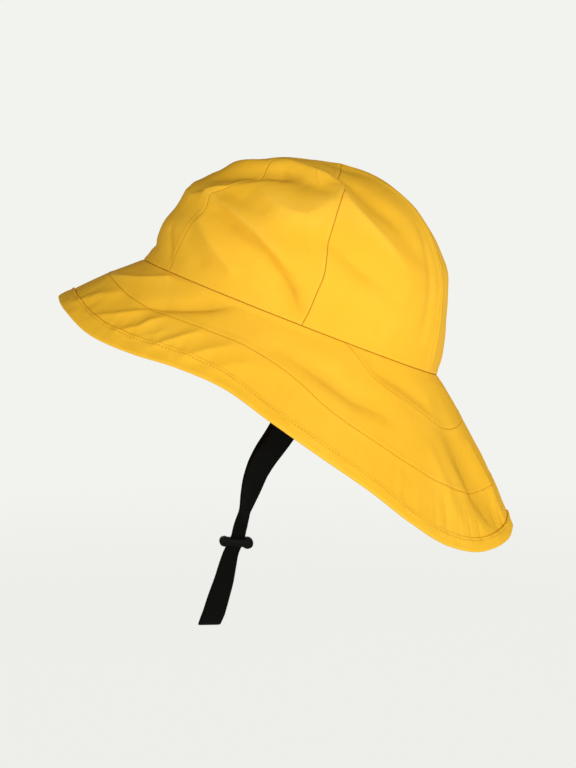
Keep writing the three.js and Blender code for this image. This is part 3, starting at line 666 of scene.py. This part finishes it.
class Value:
    """A number in a material that sums, products and powers can be written with."""

    def __init__(self, finish, socket):
        self.finish, self.socket = finish, socket

    def math(self, operation, *others):
        inputs = dict(enumerate([self, *others]))
        return self.finish.value("ShaderNodeMath", {"operation": operation}, inputs)

    def __add__(self, other):
        return self.math("ADD", other)

    __radd__ = __add__

    def __sub__(self, other):
        return self.math("SUBTRACT", other)

    def __rsub__(self, other):
        return (self * -1.0) + other

    def __mul__(self, other):
        return self.math("MULTIPLY", other)

    __rmul__ = __mul__

    def __pow__(self, other):
        return self.math("POWER", other)

    def waves(self, pitch):
        """A sine wave with this length in metres."""
        return (self * (2 * math.pi / pitch)).math("SINE")

    def size(self):
        return self.math("ABSOLUTE")

    def step(self, low, high):
        """0 below low, 1 above high, smooth between."""
        settings = {"interpolation_type": "SMOOTHSTEP"}
        inputs = {"Value": self, "From Min": low, "From Max": high}
        return self.finish.value("ShaderNodeMapRange", settings, inputs)


class Nodes:
    """The nodes of one tree, all made by one method."""

    def __init__(self, tree):
        self.tree = tree
        tree.nodes.clear()

    def node(self, kind, settings=None, inputs=None):
        made = self.tree.nodes.new(kind)
        for key, value in (settings or {}).items():
            setattr(made, key, value)
        for key, value in (inputs or {}).items():
            if isinstance(value, Value):
                value = value.socket
            if isinstance(value, bpy.types.Node):
                value = value.outputs[0]
            if isinstance(value, bpy.types.NodeSocket):
                self.tree.links.new(value, made.inputs[key])
            else:
                made.inputs[key].default_value = value
        return made


class Finish(Nodes):
    """A material under construction."""

    def __init__(self, name):
        self.material = bpy.data.materials.new(name)
        self.material.use_nodes = True
        super().__init__(self.material.node_tree)

    def value(self, kind, settings=None, inputs=None, output=0):
        return Value(self, self.node(kind, settings, inputs).outputs[output])

    def place(self):
        return self.node("ShaderNodeTexCoord").outputs["Object"]

    def cloth_place(self):
        return self.node("ShaderNodeUVMap", {"uv_map": "cloth"}).outputs["UV"]

    def mark(self, name):
        return self.value("ShaderNodeAttribute", {"attribute_name": name}, output="Fac")

    def noise(self, place, scale, detail=2.0, roughness=0.5, distortion=0.0):
        inputs = {
            "Vector": place, "Scale": scale, "Detail": detail, "Roughness": roughness,
            "Distortion": distortion,
        }
        return self.value("ShaderNodeTexNoise", None, inputs, "Fac")

    def blend(self, factor, a, b):
        return self.node("ShaderNodeMix", {"data_type": "RGBA"}, {0: factor, 6: a, 7: b}).outputs[2]

    def axes(self, place):
        return [Value(self, axis) for axis in self.node("ShaderNodeSeparateXYZ", None, {0: place}).outputs]

    def bump(self, height, distance, strength, under=None):
        inputs = {"Height": height, "Distance": distance, "Strength": strength}
        if under is not None:
            inputs["Normal"] = under
        return self.node("ShaderNodeBump", None, inputs).outputs["Normal"]

    def surface(self, colour, roughness, normal, specular):
        shader = self.node("ShaderNodeBsdfPrincipled", None, {
            "Base Color": colour, "Roughness": roughness, "Normal": normal, "Specular IOR Level": specular,
        })
        self.node("ShaderNodeOutputMaterial", None, {"Surface": shader})
        return self.material


def coated_cloth():
    """Matt coated cloth: a fine weave under its coating, a little dirt in seams, painted shade in the
    bottoms of folds and under the hem's gaping edge, rubbed edges.
    """
    finish = Finish("coated_cloth")
    place, cloth = finish.place(), finish.cloth_place()
    u, v, _ = finish.axes(cloth)
    weave = (u.waves(0.00052) * v.waves(0.00048) + 1) * 0.5
    grain = finish.noise(place, 900, 2, 0.6)
    cloud = finish.noise(place, 14, 3, 0.55)
    mottle = finish.noise(place, 120, 3, 0.6)
    crackle = finish.noise(cloth, 260, 4, 0.65, 0.4)
    seam, crest = finish.mark("seam"), finish.mark("crest")
    yellow = finish.blend(cloud.step(0.35, 0.7), (0.945, 0.512, 0.03, 1), (0.96, 0.532, 0.038, 1))
    yellow = finish.blend(mottle.step(0.4, 0.75) * 0.25, yellow, (0.925, 0.48, 0.022, 1))
    rubbed = crest.step(0.35, 1.0) * (0.25 + 0.35 * mottle)
    yellow = finish.blend(rubbed, yellow, (0.975, 0.562, 0.06, 1))
    # Dark soil colour along the seam lines; the same mark paints shade into the bottoms of folds and under
    # the hem's gaping edge
    soil_and_painted_shade = seam * (0.3 + 0.45 * cloud)
    yellow = finish.blend(soil_and_painted_shade, yellow, (0.3, 0.15, 0.008, 1))
    roughness = 0.6 + 0.1 * cloud - 0.06 * rubbed + 0.08 * seam
    fine = finish.bump(weave * 0.6 + grain * 0.8, 0.00003, 0.55)
    normal = finish.bump(crackle + mottle * 0.6, 0.00022, 0.5, fine)
    return finish.surface(yellow, roughness, normal, 0.04)


def cloth_backing():
    """The uncoated inner face: a plain weave, paler and quite matt."""
    finish = Finish("cloth_backing")
    place, cloth = finish.place(), finish.cloth_place()
    u, v, _ = finish.axes(cloth)
    weave = u.waves(0.0009) * v.waves(0.0009)
    cloud = finish.noise(place, 18, 3, 0.6)
    fuzz = finish.noise(place, 1500, 3, 0.7)
    seam = finish.mark("seam")
    tone = finish.blend(cloud.step(0.35, 0.7), (0.8, 0.42, 0.04, 1), (0.86, 0.48, 0.06, 1))
    tone = finish.blend(weave.step(-0.2, 0.9) * 0.25, tone, (0.9, 0.56, 0.11, 1))
    # The same mark darkens the inner face: seam lines and painted shade from the folds
    tone = finish.blend(seam * 0.5, tone, (0.48, 0.25, 0.02, 1))
    normal = finish.bump(weave * 0.5 + fuzz, 0.00008, 0.7)
    return finish.surface(tone, 0.82 + 0.1 * fuzz, normal, 0.2)


def sewing_thread():
    """Yellow polyester thread with its ply."""
    finish = Finish("sewing_thread")
    x, y, z = finish.axes(finish.place())
    ply = (x + y + z).waves(0.0004)
    tone = finish.blend(ply.step(-0.6, 0.9), (0.78, 0.4, 0.018, 1), (0.93, 0.5, 0.03, 1))
    normal = finish.bump(ply, 0.00005, 0.8)
    return finish.surface(tone, 0.55 + 0.1 * ply.size(), normal, 0.5)


def black_webbing():
    """Black woven webbing with chevron ribs and plain edges, and a painted sheen on the tops of the
    threads.
    """
    finish = Finish("black_webbing")
    u, v, _ = finish.axes(finish.cloth_place())
    chevron = (u - STRAP_WIDTH / 2000).size()
    rib, pick, warp = (v + chevron).waves(0.0017), v.waves(0.0006), u.waves(0.0008)
    binding = chevron.step(0.006, 0.0064)
    fuzz = finish.noise(finish.place(), 1800, 3, 0.7)
    height = rib * (1 - binding) + pick * (0.4 + binding * 0.5) + warp * 0.45 + fuzz * 0.8
    # Painted sheen: the raised thread tops of the ribs are coloured lighter
    thread = (rib * 0.5 + 0.5) * (0.5 + 0.5 * fuzz)
    tone = finish.blend(thread.step(0.1, 0.9), (0.0016, 0.0017, 0.0013, 1), (0.0062, 0.0064, 0.0053, 1))
    tone = finish.blend(binding * 0.5, tone, (0.003, 0.0031, 0.0026, 1))
    normal = finish.bump(height, 0.00013, 0.8)
    return finish.surface(tone, 0.78 + 0.15 * fuzz, normal, 0.07)


def moulded_black():
    """Satin moulded plastic with a fine spark texture and lighter scuffs."""
    finish = Finish("moulded_black")
    place = finish.place()
    spark = finish.noise(place, 2600, 2, 0.6)
    scuff = finish.noise(place, 320, 4, 0.7, 0.6)
    tone = finish.blend(scuff.step(0.55, 0.8), (0.0026, 0.0027, 0.0024, 1), (0.008, 0.008, 0.0076, 1))
    normal = finish.bump(spark + scuff * 0.5, 0.00006, 0.5)
    return finish.surface(tone, 0.5 + 0.16 * scuff, normal, 0.08)


cloth, backing, thread = coated_cloth(), cloth_backing(), sewing_thread()
webbing, plastic = black_webbing(), moulded_black()


# Seams


def welt_at(distance):
    """Height of a welt beside a seam or an edge, as a share of its full height."""
    return ease(0, 0.35, distance) * (1 - ease(1.6, 5.0, distance))


def sewn_edge(distance, welt):
    """Height beside a seam: the cloth turns in at the seam, after a low welt."""
    return welt * welt_at(distance) - GROOVE_DEPTH * np.exp(-((distance / GROOVE_WIDTH) ** 1.5))


def seam_mark(distance):
    return bump_at(distance, 0, SEAM_WIDTH)


def allowance(distance):
    """Turned-in seam allowance on the inner face."""
    return ALLOWANCE_DEPTH * (1 - ease(ALLOWANCE_WIDTH, ALLOWANCE_WIDTH + 1, distance))


def painted_fold_shade(lift):
    """Painted shade in the bottom of a fold: how much the colour is darkened where the cloth dips deep."""
    return 0.5 * ease(0.8, 5.0, -lift)


def crest_mark(lift, relief):
    return np.clip(0.22 * lift + 1.2 * np.maximum(relief, 0), 0, 1)


def faces(point, normal, top, bottom):
    """Outer and inner face of the cloth, so far out from points along their normals."""
    return point + normal * top[..., None], point + normal * bottom[..., None]


def opening_edges(turn, height):
    """Edges of the outer and inner face that are tucked in at the head opening."""
    base, outward = head_opening(turn)
    tucked = base - outward * TUCK_IN + np.array([0, 0, height])
    return tucked, tucked - outward * CROWN_WALL


# Crown


def crown_gore(name, start, end):
    share, climb = graded(GORE_WIDTH, 1.4)[:, None], graded(GORE_LENGTH, 1.4)[None, :]
    first, last = seam_turn(start, climb), seam_turn(end, climb)
    turn = mix(first, last, share)
    inner_turn = np.clip(turn, first + 1e-6, last - 1e-6)
    point, normal, per_turn, lift = crown_form(inner_turn, climb)
    from_start, from_end = (part * (last - first) * per_turn for part in (share, 1 - share))
    from_seam = np.minimum(from_start, from_end)
    from_base = np.broadcast_to(climb * GORE_LENGTH, lift.shape)
    fade = 1 - 0.6 * ease(0.9, 1.0, climb)
    end_welt = 0.2 if abs(turn_between(0.0, end)) < 60 else 0.42
    edges = sewn_edge(from_start, 0.08), sewn_edge(from_end, end_welt)
    relief = np.where(from_start < from_end, *edges) * fade
    relief = relief + 0.45 * welt_at(from_base)
    wall = CROWN_WALL + allowance(from_seam) * (1 - ease(0.9, 0.98, climb)) + allowance(from_base)
    outer, inner = faces(point, normal, lift + relief, lift - wall)
    outer[:, 0], inner[:, 0] = opening_edges(turn[:, 0], OPENING_GAP)
    across = (share - 0.5) * (last - first) * per_turn
    up = np.broadcast_to(climb * GORE_LENGTH, across.shape)
    # Dark seam lines, with painted shade laid into the bottoms of deep folds
    seam = np.maximum(np.maximum(seam_mark(from_seam), 0.6 * seam_mark(from_base)), painted_fold_shade(lift))
    marks = {"seam": seam, "crest": crest_mark(lift, relief)}
    return shell(name, outer, inner, across, up, [cloth, backing], **marks)


# Brim

ring_turns = np.linspace(-180, 180, RING_COLUMNS + 1)[:-1]


def brim_band(name, turns, start, end, welts, starts_at, ends_at, closed=True):
    """Part of the brim between two shares of its width, as a shell with rows running up. Starts_at
    and ends_at say how plainly the seams at its start and its end show."""
    longest = float(((end - start) * brim_width(turns)).max())
    given = starts_at, ends_at, start, end, brim_width(turns)
    starts_at, ends_at, start, end, width = (np.reshape(values, (-1, 1)) for values in given)
    out = mix(start, end, graded(longest, 1.5)[::-1])
    point, normal, lift = brim_form(turns[:, None], out)
    from_start, from_end = (out - start) * width, (end - out) * width
    relief = sewn_edge(from_start, welts[0]) + sewn_edge(from_end, welts[1]) * ends_at
    wall = BRIM_WALL + allowance(from_start) + allowance(from_end)
    outer, inner = faces(point, normal, lift + relief, lift - wall)
    sewn = start[:, 0] <= 1e-9
    outer[sewn, -1], inner[sewn, -1] = opening_edges(turns[sewn], -OPENING_GAP)
    across, up = turns[:, None] * BRIM_PER_DEGREE + 0 * out, out * width
    if closed:
        across, up = np.vstack([across, across[:1] + 360 * BRIM_PER_DEGREE]), np.vstack([up, up[:1]])
    seam = np.maximum(seam_mark(from_start) * starts_at, seam_mark(from_end) * ends_at)
    # Painted shade in the bottoms of deep folds, on top of the seam lines
    seam = np.maximum(seam, painted_fold_shade(lift))
    marks = {"seam": seam, "crest": crest_mark(lift, relief)}
    return shell(name, outer, inner, across, up, [cloth, backing], closed, **marks)


def rounded_edge(share):
    """Share of its full height that a round edge has at a share of the way in."""
    return np.sqrt(np.clip(1 - (1 - np.clip(share, 0, 1)) ** 2, 0, 1))


def brim_hem():
    """Folded hem as a closed tube: a turned edge, a stitched channel, a flat band, a round edge."""
    turns = np.linspace(-180, 180, HEM_COLUMNS + 1)[:-1, None]
    width = brim_width(turns)
    start = hem_share(turns)
    band = (1 - start) * width
    head = np.array([0.0, 0.05, 0.2, 0.45, 0.8, 1.2, 1.6, 2.0, 2.35, 2.7, 3.05, 3.4, 3.9, 4.6])
    edge = np.array([2.6, 1.9, 1.3, 0.8, 0.4, 0.15, 0.0])
    middle = np.linspace(0, 1, 6)[1:-1]
    from_fold = np.concatenate([
        np.broadcast_to(head, (len(turns), len(head))), mix(head[-1], band - edge[0], middle), band - edge,
    ], 1)
    rim = band - from_fold
    half, rolled = HEM_THICKNESS / 2 * rounded_edge(rim / 1.5), rounded_edge(from_fold / 0.45)
    dimple = 0.5 - 0.5 * np.cos(2 * np.pi * walked(turns[:, 0]) / STITCH_PITCH)[:, None]
    gape = hem_gape(turns)
    channel = bump_at(from_fold, STITCH_ROW, 0.36) * (0.04 + 0.46 * dimple**2)
    ridge = 0.45 * gape * bump_at(from_fold, 1.2, 0.9)
    point, normal, lift = brim_form(turns, np.minimum(start + from_fold / width, 1))
    wave = ripples(hem_ripples, point) * ease(3, 6, from_fold)
    top = half * rolled * (1 - 0.25 * (from_fold < 0.03)) + (ridge - channel) * rolled
    top = top + wave * (half / half.max())
    under = half * rolled + (0.4 * ridge - channel) * rolled
    centre = point + normal * (lift - BRIM_WALL / 2)[..., None]
    outer, inner = faces(centre, normal, top, -under)
    # Darker dots where the thread goes into the cloth, and painted shade along the folded edge, stronger
    # the more the edge stands off the cloth
    seam = np.maximum(bump_at(from_fold, STITCH_ROW, 0.45) * dimple**3, gape * bump_at(from_fold, 0, 0.25))
    crest = np.clip(bump_at(rim, 0.3, 0.9) + 0.5 * bump_at(from_fold, 1.1, 0.8), 0, 1)
    loop, seam, crest = (
        np.concatenate([upper[:, ::-1], lower[:, 1:-1]], 1)
        for upper, lower in ((outer, inner), (seam, seam), (crest, crest))
    )
    quads, corners = tube_quads(*loop.shape[:2])
    along = np.append(turns, 180) * HEM_PER_DEGREE
    uv = corners(lambda column, place: np.stack([along[column], HEM_PER_ROW * place], -1))
    piece = mesh_piece("brim_hem_band", loop, quads, uv, [cloth], None, 60, seam=seam, crest=crest)
    row = int(np.argmin(np.abs(head - STITCH_ROW)))
    upper = outer[:, row] + normal[:, row] * THREAD * 0.25
    lower = inner[:, row] - normal[:, row] * THREAD * 0.25
    return piece, upper, lower


def walked(turns):
    """Length along the stitch row from the first turn, stretched to a whole number of stitches."""
    out = hem_share(turns) + STITCH_ROW / brim_width(turns)
    row = plain_brim(np.append(turns, turns[0] + 360), np.append(out, out[0]))
    lengths = spans(row)
    total = lengths.sum()
    stitches = round(total / STITCH_PITCH)
    return np.append(0, np.cumsum(lengths)[:-1]) * stitches * STITCH_PITCH / total


# Stitches by Geometry Nodes


def stitch_tree():
    """Stitches of one thread at an even pitch along a path."""
    tree = bpy.data.node_groups.new("stitches_on_path", "GeometryNodeTree")
    kinds = {"Geometry": "Geometry", "Stitch Count": "Int", "Seed": "Int", "Stitch Length": "Float"}
    for name, kind in {**kinds, "Thread Width": "Float", "Thread": "Material"}.items():
        tree.interface.new_socket(name, in_out="INPUT", socket_type="NodeSocket" + kind)
    tree.interface.new_socket("Geometry", in_out="OUTPUT", socket_type="NodeSocketGeometry")
    node = Nodes(tree).node
    given = node("NodeGroupInput").outputs
    path = node("GeometryNodeMeshToCurve", None, {"Mesh": given["Geometry"]})
    spacing = {"Curve": path, "Count": given["Stitch Count"]}
    spaced = node("GeometryNodeResampleCurve", {"mode": "COUNT"}, spacing)
    along = {"Vector": node("GeometryNodeInputTangent")}
    turned = node("FunctionNodeAlignRotationToVector", {"axis": "Z"}, along)
    half_length, half_width = (
        node("ShaderNodeMath", {"operation": "MULTIPLY"}, {0: given[name], 1: 0.5})
        for name in ("Stitch Length", "Thread Width")
    )
    size = node("ShaderNodeCombineXYZ", None, {"X": half_width, "Y": half_width, "Z": half_length})
    spread = {2: 0.9, 3: 1.08, "Seed": given["Seed"]}
    uneven = node("FunctionNodeRandomValue", {"data_type": "FLOAT"}, spread).outputs[1]
    scaled = node("ShaderNodeVectorMath", {"operation": "SCALE"}, {0: size, "Scale": uneven})
    bead = node("GeometryNodeMeshUVSphere", None, {"Segments": 6, "Rings": 5, "Radius": 1.0})
    placed = node("GeometryNodeInstanceOnPoints", None, {
        "Points": spaced, "Instance": bead, "Rotation": turned, "Scale": scaled,
    })
    real = node("GeometryNodeRealizeInstances", None, {"Geometry": placed})
    smoothed = node("GeometryNodeSetShadeSmooth", None, {"Geometry": real})
    dressed = node("GeometryNodeSetMaterial", None, {"Geometry": smoothed, "Material": given["Thread"]})
    node("NodeGroupOutput", None, {"Geometry": dressed})
    return tree


stitches_on_path = stitch_tree()


def stitched(name, path, count):
    """A row of stitches along a closed path of the level frame, as a plain mesh."""
    mesh = bpy.data.meshes.new(name + "_path")
    edges = [(k, (k + 1) % len(path)) for k in range(len(path))]
    mesh.from_pydata(tilted(path).tolist(), edges, [])
    guide = add_object(name + "_path", mesh)
    modifier = guide.modifiers.new("stitches", "NODES")
    modifier.node_group = stitches_on_path
    values = {
        "Stitch Count": count, "Seed": 5, "Stitch Length": STITCH_LENGTH / 1000,
        "Thread Width": THREAD / 1000, "Thread": thread,
    }
    for item in stitches_on_path.interface.items_tree:
        if item.in_out == "INPUT" and item.name in values:
            modifier[item.identifier] = values[item.name]
    bpy.context.view_layer.update()
    evaluated = guide.evaluated_get(bpy.context.evaluated_depsgraph_get())
    plain = bpy.data.meshes.new_from_object(evaluated)
    guide.modifiers.remove(modifier)
    bpy.data.objects.remove(guide)
    plain.name = name
    return add_object(name, plain)


# Chin strap


def thirds(values):
    """Values with two further ones between each and the next."""
    parts = [np.linspace(a, b, 4)[:-1] for a, b in zip(values, values[1:])]
    return np.append(np.concatenate(parts), values[-1])


def at_drop(rows, drop):
    """A row of a strap's table at a drop, by name."""
    return {name: float(smooth(rows, "drop", name, drop)) for name in rows if name != "drop"}


def strap_side(side):
    """Stations of one side of the strap from its sewn end down to the slide, as centre, facing,
    hold, width and twist."""
    sewn = side * math.degrees(math.acos(-STRAP_BACK / (HEAD_LENGTH / 2)))
    depth = CROWN_WALL + 0.5 + STRAP_THICKNESS / 2
    stations = []
    for share in (1.0, 0.7, 0.4, 0.1):
        point, normal, _, lift = crown_form(sewn, share * STRAP_ANCHOR / GORE_LENGTH)
        stations.append((point + normal * (lift - depth - 0.35), normal, 1.0, 1.0, 0.0))
    wall, facing = stations[-1][0], stations[-1][1]
    for drop in thirds(strap_run["drop"]):
        at = at_drop(strap_run, drop)
        centre = np.array([
            mix(side * LAYER_MIDDLE, wall[0], at["spread"]),
            STRAP_BACK * (at["left"] if side > 0 else at["right"]),
            -STRAP_DROP * drop,
        ])
        stations.append((centre, facing, at["hold"], at["width"], side * at["twist"]))
    return stations


def tail_side(side):
    stations = []
    for drop in thirds(strap_tail["drop"]):
        at = at_drop(strap_tail, drop)
        x = side * mix(LAYER_MIDDLE, TAIL_RADIUS, at["part"])
        centre = np.array([x, STRAP_BACK * at["back"], -STRAP_DROP - TAIL_DROP * drop])
        stations.append((centre, np.array([1.0, 0, 0]), 0.0, at["width"], 0.0))
    return stations


def tail_turn():
    last = tail_side(1)[-1]
    room = TAIL_DROP * (1 - strap_tail["drop"][-1])
    return [(
        np.array([last[0][0] * math.cos(a), last[0][1], last[0][2] - room * math.sin(a)]),
        last[1], 0.0, last[3], 0.0,
    ) for a in np.linspace(0, math.pi, 9)[1:-1]]


def finer(values, steps):
    """Rows of values with further ones between them, on a curve through all of them."""
    values = np.asarray(values, float)
    ends = np.vstack([2 * values[0] - values[1], values, 2 * values[-1] - values[-2]])
    a, b, c, d = ends[:-3], ends[1:-2], ends[2:-1], ends[3:]
    t = (np.arange(steps) / steps)[:, None, None]
    made = 0.5 * (2 * b + (c - a) * t + (2 * a - 5 * b + 4 * c - d) * t**2 + (3 * b - a - 3 * c + d) * t**3)
    return np.vstack([made.transpose(1, 0, 2).reshape(-1, values.shape[1]), values[-1:]])


def chin_strap():
    stations = [*strap_side(1), *tail_side(1)[1:], *tail_turn(), *tail_side(-1)[:0:-1]]
    stations += strap_side(-1)[::-1]
    centre, facing, hold, width, twist = (np.array(values) for values in zip(*stations))
    hold, width, twist = hold[:, None], width[:, None], np.radians(twist)[:, None]
    run = unit(np.gradient(centre, axis=0))
    face = mix(unit(np.cross(run, [0.0, 1.0, 0.0])), facing, np.maximum(hold, 0))
    face = unit(face - run * (face * run).sum(-1, keepdims=True))
    face = face * np.cos(twist) + np.cross(run, face) * np.sin(twist)
    fine = finer(np.hstack([centre, face, width]), 4)
    centre, width = fine[:, :3], fine[:, 6]
    run = unit(np.gradient(centre, axis=0))
    face = unit(fine[:, 3:6] - run * (fine[:, 3:6] * run).sum(-1, keepdims=True))
    level = 1 - ease(8, 24, centre[:, 2:] + STRAP_DROP + TAIL_DROP)
    across = unit(mix(np.cross(face, run), np.array([0, math.cos(HAT_PITCH), math.sin(HAT_PITCH)]), level))
    along = np.append(0, np.cumsum(spans(centre)))
    s = np.sin(np.linspace(-math.pi / 2, math.pi / 2, 17))
    half = STRAP_THICKNESS / 2 * np.clip(1 - np.abs(s) ** 9, 0, 1) ** 0.5
    gather = np.clip(1 - width, 0, 1)[:, None]
    fold = gather * (0.9 * np.cos(2.2 * np.pi * s) + 0.5 * s)[None, :]
    fold = fold * (1 - 0.85 * bump_at(centre[:, 2:], -STRAP_DROP, 9))
    flat = centre[:, None] + across[:, None] * (s[None, :, None] * STRAP_WIDTH / 2 * width[:, None, None])
    outer, inner = faces(flat, face[:, None], fold + half, fold - half)
    lengths = np.broadcast_to(along[:, None], fold.shape)
    places = np.broadcast_to(((s + 1) / 2 * STRAP_WIDTH)[None, :], fold.shape)
    return shell("chin_strap_webbing", outer, inner, places, lengths, [webbing, webbing])


def strap_slide():
    """One moulded bar with two round ends, seen from the side, and a slot for the strap."""
    gathered = STRAP_WIDTH * strap_tail["width"][0]
    tilt = math.radians(SLIDE_TILT)
    slot_length = gathered / math.cos(tilt) + 2 * SLIDE_BACK_RADIUS * math.tan(tilt) + 2 * SLOT_CLEARANCE
    slot_width = LAYER_GAP + 2 * STRAP_THICKNESS + 2 * SLOT_CLEARANCE
    length = slot_length + SLIDE_ENDS
    angle = np.linspace(0, 2 * np.pi, 121)[:-1]

    def rounded(half_x, half_y, power):
        c, s = np.cos(angle), np.sin(angle)
        x = half_x * np.sign(c) * np.abs(c) ** (2 / power)
        y = half_y * np.sign(s) * np.abs(s) ** (2 / power)
        return np.stack([x, y], -1)

    outline = rounded(SLIDE_DEPTH / 2, length / 2, 6)
    slot = rounded(slot_width / 2, slot_length / 2, 8)
    shares = np.array([0, 0.03, 0.08, 0.2, 0.35, 0.5, 0.62, 0.72, 0.8, 0.87, 0.92, 0.96, 0.985, 1.0])
    plan = mix(slot[:, None], outline[:, None], shares[None, :, None])

    def height(x, y):
        front, back = -length / 2 + SLIDE_FRONT_RADIUS, length / 2 - SLIDE_BACK_RADIUS
        lobe_front = np.sqrt(np.clip(SLIDE_FRONT_RADIUS**2 - (y - front) ** 2, 0, None))
        lobe_back = np.sqrt(np.clip(SLIDE_BACK_RADIUS**2 - (y - back) ** 2, 0, None))
        bar = np.where((y > front) & (y < back), SLIDE_NECK / 2, 0)
        blended = (lobe_front**6 + lobe_back**6 + bar**6) ** (1 / 6)
        corner = np.clip((np.abs(x) - (SLIDE_DEPTH / 2 - 1.3)) / 1.3, 0, 1)
        return blended * np.sqrt(np.clip(1 - corner**2, 0, 1))

    tall = height(plan[..., 0], plan[..., 1])
    tall[:, 0] = tall[:, 1] - 0.25
    tall[:, -1] = 0
    top = np.concatenate([plan, tall[..., None]], -1)
    bottom = top * np.array([1, 1, -1])
    wall_top = np.stack([top[:, 0] * np.array([1, 1, k]) for k in (0.75, 0.25, -0.25, -0.75)], 1)
    loop = np.concatenate([top[:, ::-1], wall_top, bottom[:, :-1]], 1)
    quads, _ = tube_quads(*loop.shape[:2])
    placed = pitched(loop, -tilt) + np.array([0, STRAP_BACK * strap_tail["back"][0], -STRAP_DROP])
    uv = np.zeros((len(quads), 4, 2))
    return mesh_piece("strap_slide_bar", placed, quads, uv, [plastic], None, 35)


# Making of the pieces


def dress(piece, node):
    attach(piece, "root")
    if node:
        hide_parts(node)


for gore_name, gore_start, gore_end in gores:
    dress(crown_gore(gore_name + "_cloth", gore_start, gore_end), gore_name)

gusset_tip = GUSSET_START - GUSSET_TAPER
gusset_turns = np.linspace(gusset_tip, 360 - gusset_tip, GUSSET_COLUMNS + 1)
behind = mirrored(ring_turns) > gusset_tip
lower_turns = np.concatenate([np.linspace(-132, 132, 481)[:-1], np.linspace(132, 228, 361)[:-1]])
bands = [
    ("brim_back_gusset", gusset_turns, np.zeros(len(gusset_turns)),
     np.maximum(gusset_share(gusset_turns), 1e-5), (0.2, 0.55), 0.6, 0.45, False),
    ("brim_upper", ring_turns, np.where(behind, gusset_share(ring_turns), 0.0),
     brim_at("join", ring_turns), (0.2, 0.55), np.where(behind, 0.35, 0.6), 0.5),
    # The lower band's seam line beside the hem darkens with the hem's gape: painted shade under the gaping
    # edge
    ("brim_lower", lower_turns, brim_at("join", lower_turns),
     hem_share(lower_turns), (0.1, 0.0), 0.5, hem_gape(lower_turns)),
]
for band_name, *band in bands:
    dress(brim_band(band_name + "_cloth", *band), band_name)

hem, stitch_top, stitch_under = brim_hem()
dress(hem, "brim_hem")

stitch_count = round(spans(stitch_top).sum() / STITCH_PITCH)
for stitch_name, stitch_path in (("hem_stitches_top", stitch_top), ("hem_stitches_under", stitch_under)):
    dress(stitched(stitch_name, stitch_path, stitch_count), None)

dress(chin_strap(), "chin_strap")
dress(strap_slide(), "strap_slide")


# Floor, light and camera

PALE = (0.887, 0.896, 0.855, 1)
FLOOR_GAP = 0.022
FLOOR_RADIUS = 30


def studio_floor():
    """A pale floor under the hat that runs out into the studio's pale wall."""
    low = min(float(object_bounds()[0].z), float(cad_low.z)) - FLOOR_GAP
    mesh = bpy.data.meshes.new("studio_floor")
    edit = bmesh.new()
    bmesh.ops.create_circle(edit, cap_ends=True, segments=96, radius=FLOOR_RADIUS)
    edit.to_mesh(mesh)
    edit.free()
    mesh.transform(Matrix.Translation((0, 0, low)))
    floor = add_object("studio_floor", mesh)
    finish = Finish("studio_floor")
    x, y, _ = finish.axes(finish.place())
    distance = (x * x + y * y) ** 0.5
    matt = finish.node("ShaderNodeBsdfPrincipled", None, {
        "Base Color": (0.3, 0.3, 0.29, 1), "Roughness": 0.9, "Specular IOR Level": 0.05,
    })
    glow = finish.node("ShaderNodeEmission", None, {"Color": PALE, "Strength": 1.0})
    joined = finish.node("ShaderNodeMixShader", None, {
        0: 0.95 + 0.05 * distance.step(0.3, 1.0), 1: matt, 2: glow,
    })
    finish.node("ShaderNodeOutputMaterial", None, {"Surface": joined})
    finish.material.cycles.emission_sampling = "NONE"
    mesh.materials.append(finish.material)
    floor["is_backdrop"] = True


def studio_light():
    world = bpy.data.worlds.new("studio")
    bpy.context.scene.world = world
    world.use_nodes = True
    node = Nodes(world.node_tree).node
    path = node("ShaderNodeLightPath")
    ambient = node("ShaderNodeBackground", None, {"Color": (1, 0.95, 0.78, 1), "Strength": 0.18})
    seen = node("ShaderNodeBackground", None, {"Color": PALE})
    choose = node("ShaderNodeMixShader", None, {0: path.outputs["Is Camera Ray"], 1: ambient, 2: seen})
    node("ShaderNodeOutputWorld", None, {"Surface": choose})


def toward(azimuth, elevation):
    """Unit vector from the hat toward an azimuth, with the front at 0, and an elevation."""
    a, e = math.radians(azimuth), math.radians(elevation)
    return Vector((math.sin(a) * math.cos(e), -math.cos(a) * math.cos(e), math.sin(e)))


def softbox(name, azimuth, elevation, distance, width, height, watts):
    """A large soft light that faces the hat from an azimuth and an elevation."""
    light = bpy.data.lights.new(name, "AREA")
    light.shape, light.size, light.size_y, light.energy = "RECTANGLE", width, height, watts
    lamp = add_object(name, light)
    back = toward(azimuth, elevation)
    lamp.location = back * distance + Vector((0, 0, -0.03))
    lamp.rotation_euler = back.to_track_quat("Z", "Y").to_euler()
    lamp.visible_camera = False


def photo_camera(azimuth=85, elevation=5.5, distance=1.6):
    """Camera at the photograph's angle, from far off with a long lens."""
    back = toward(azimuth, elevation)
    right = Vector((-back.y, back.x, 0)).normalized()
    up = back.cross(right)
    aim = right * -0.001833 + up * -0.04467
    camera = add_object("photo_camera", bpy.data.cameras.new("photo_camera"))
    camera.data.lens, camera.data.sensor_width = 112.5, 36
    camera.data.clip_start, camera.data.clip_end = 0.05, 100
    turned = Matrix((right, up, back)).transposed().to_4x4()
    camera.matrix_world = Matrix.Translation(aim + back * distance) @ turned
    bpy.context.scene.camera = camera


studio_floor()
studio_light()
softbox("key_softbox", 86, 15, 2.4, 1.0, 0.8, 28.8)
softbox("back_softbox", 134, 20, 2.4, 1.0, 0.9, 16)
softbox("fill_softbox", 268, 3, 2.8, 1.4, 0.9, 8)
photo_camera()
bpy.context.scene.view_settings.view_transform = "Standard"
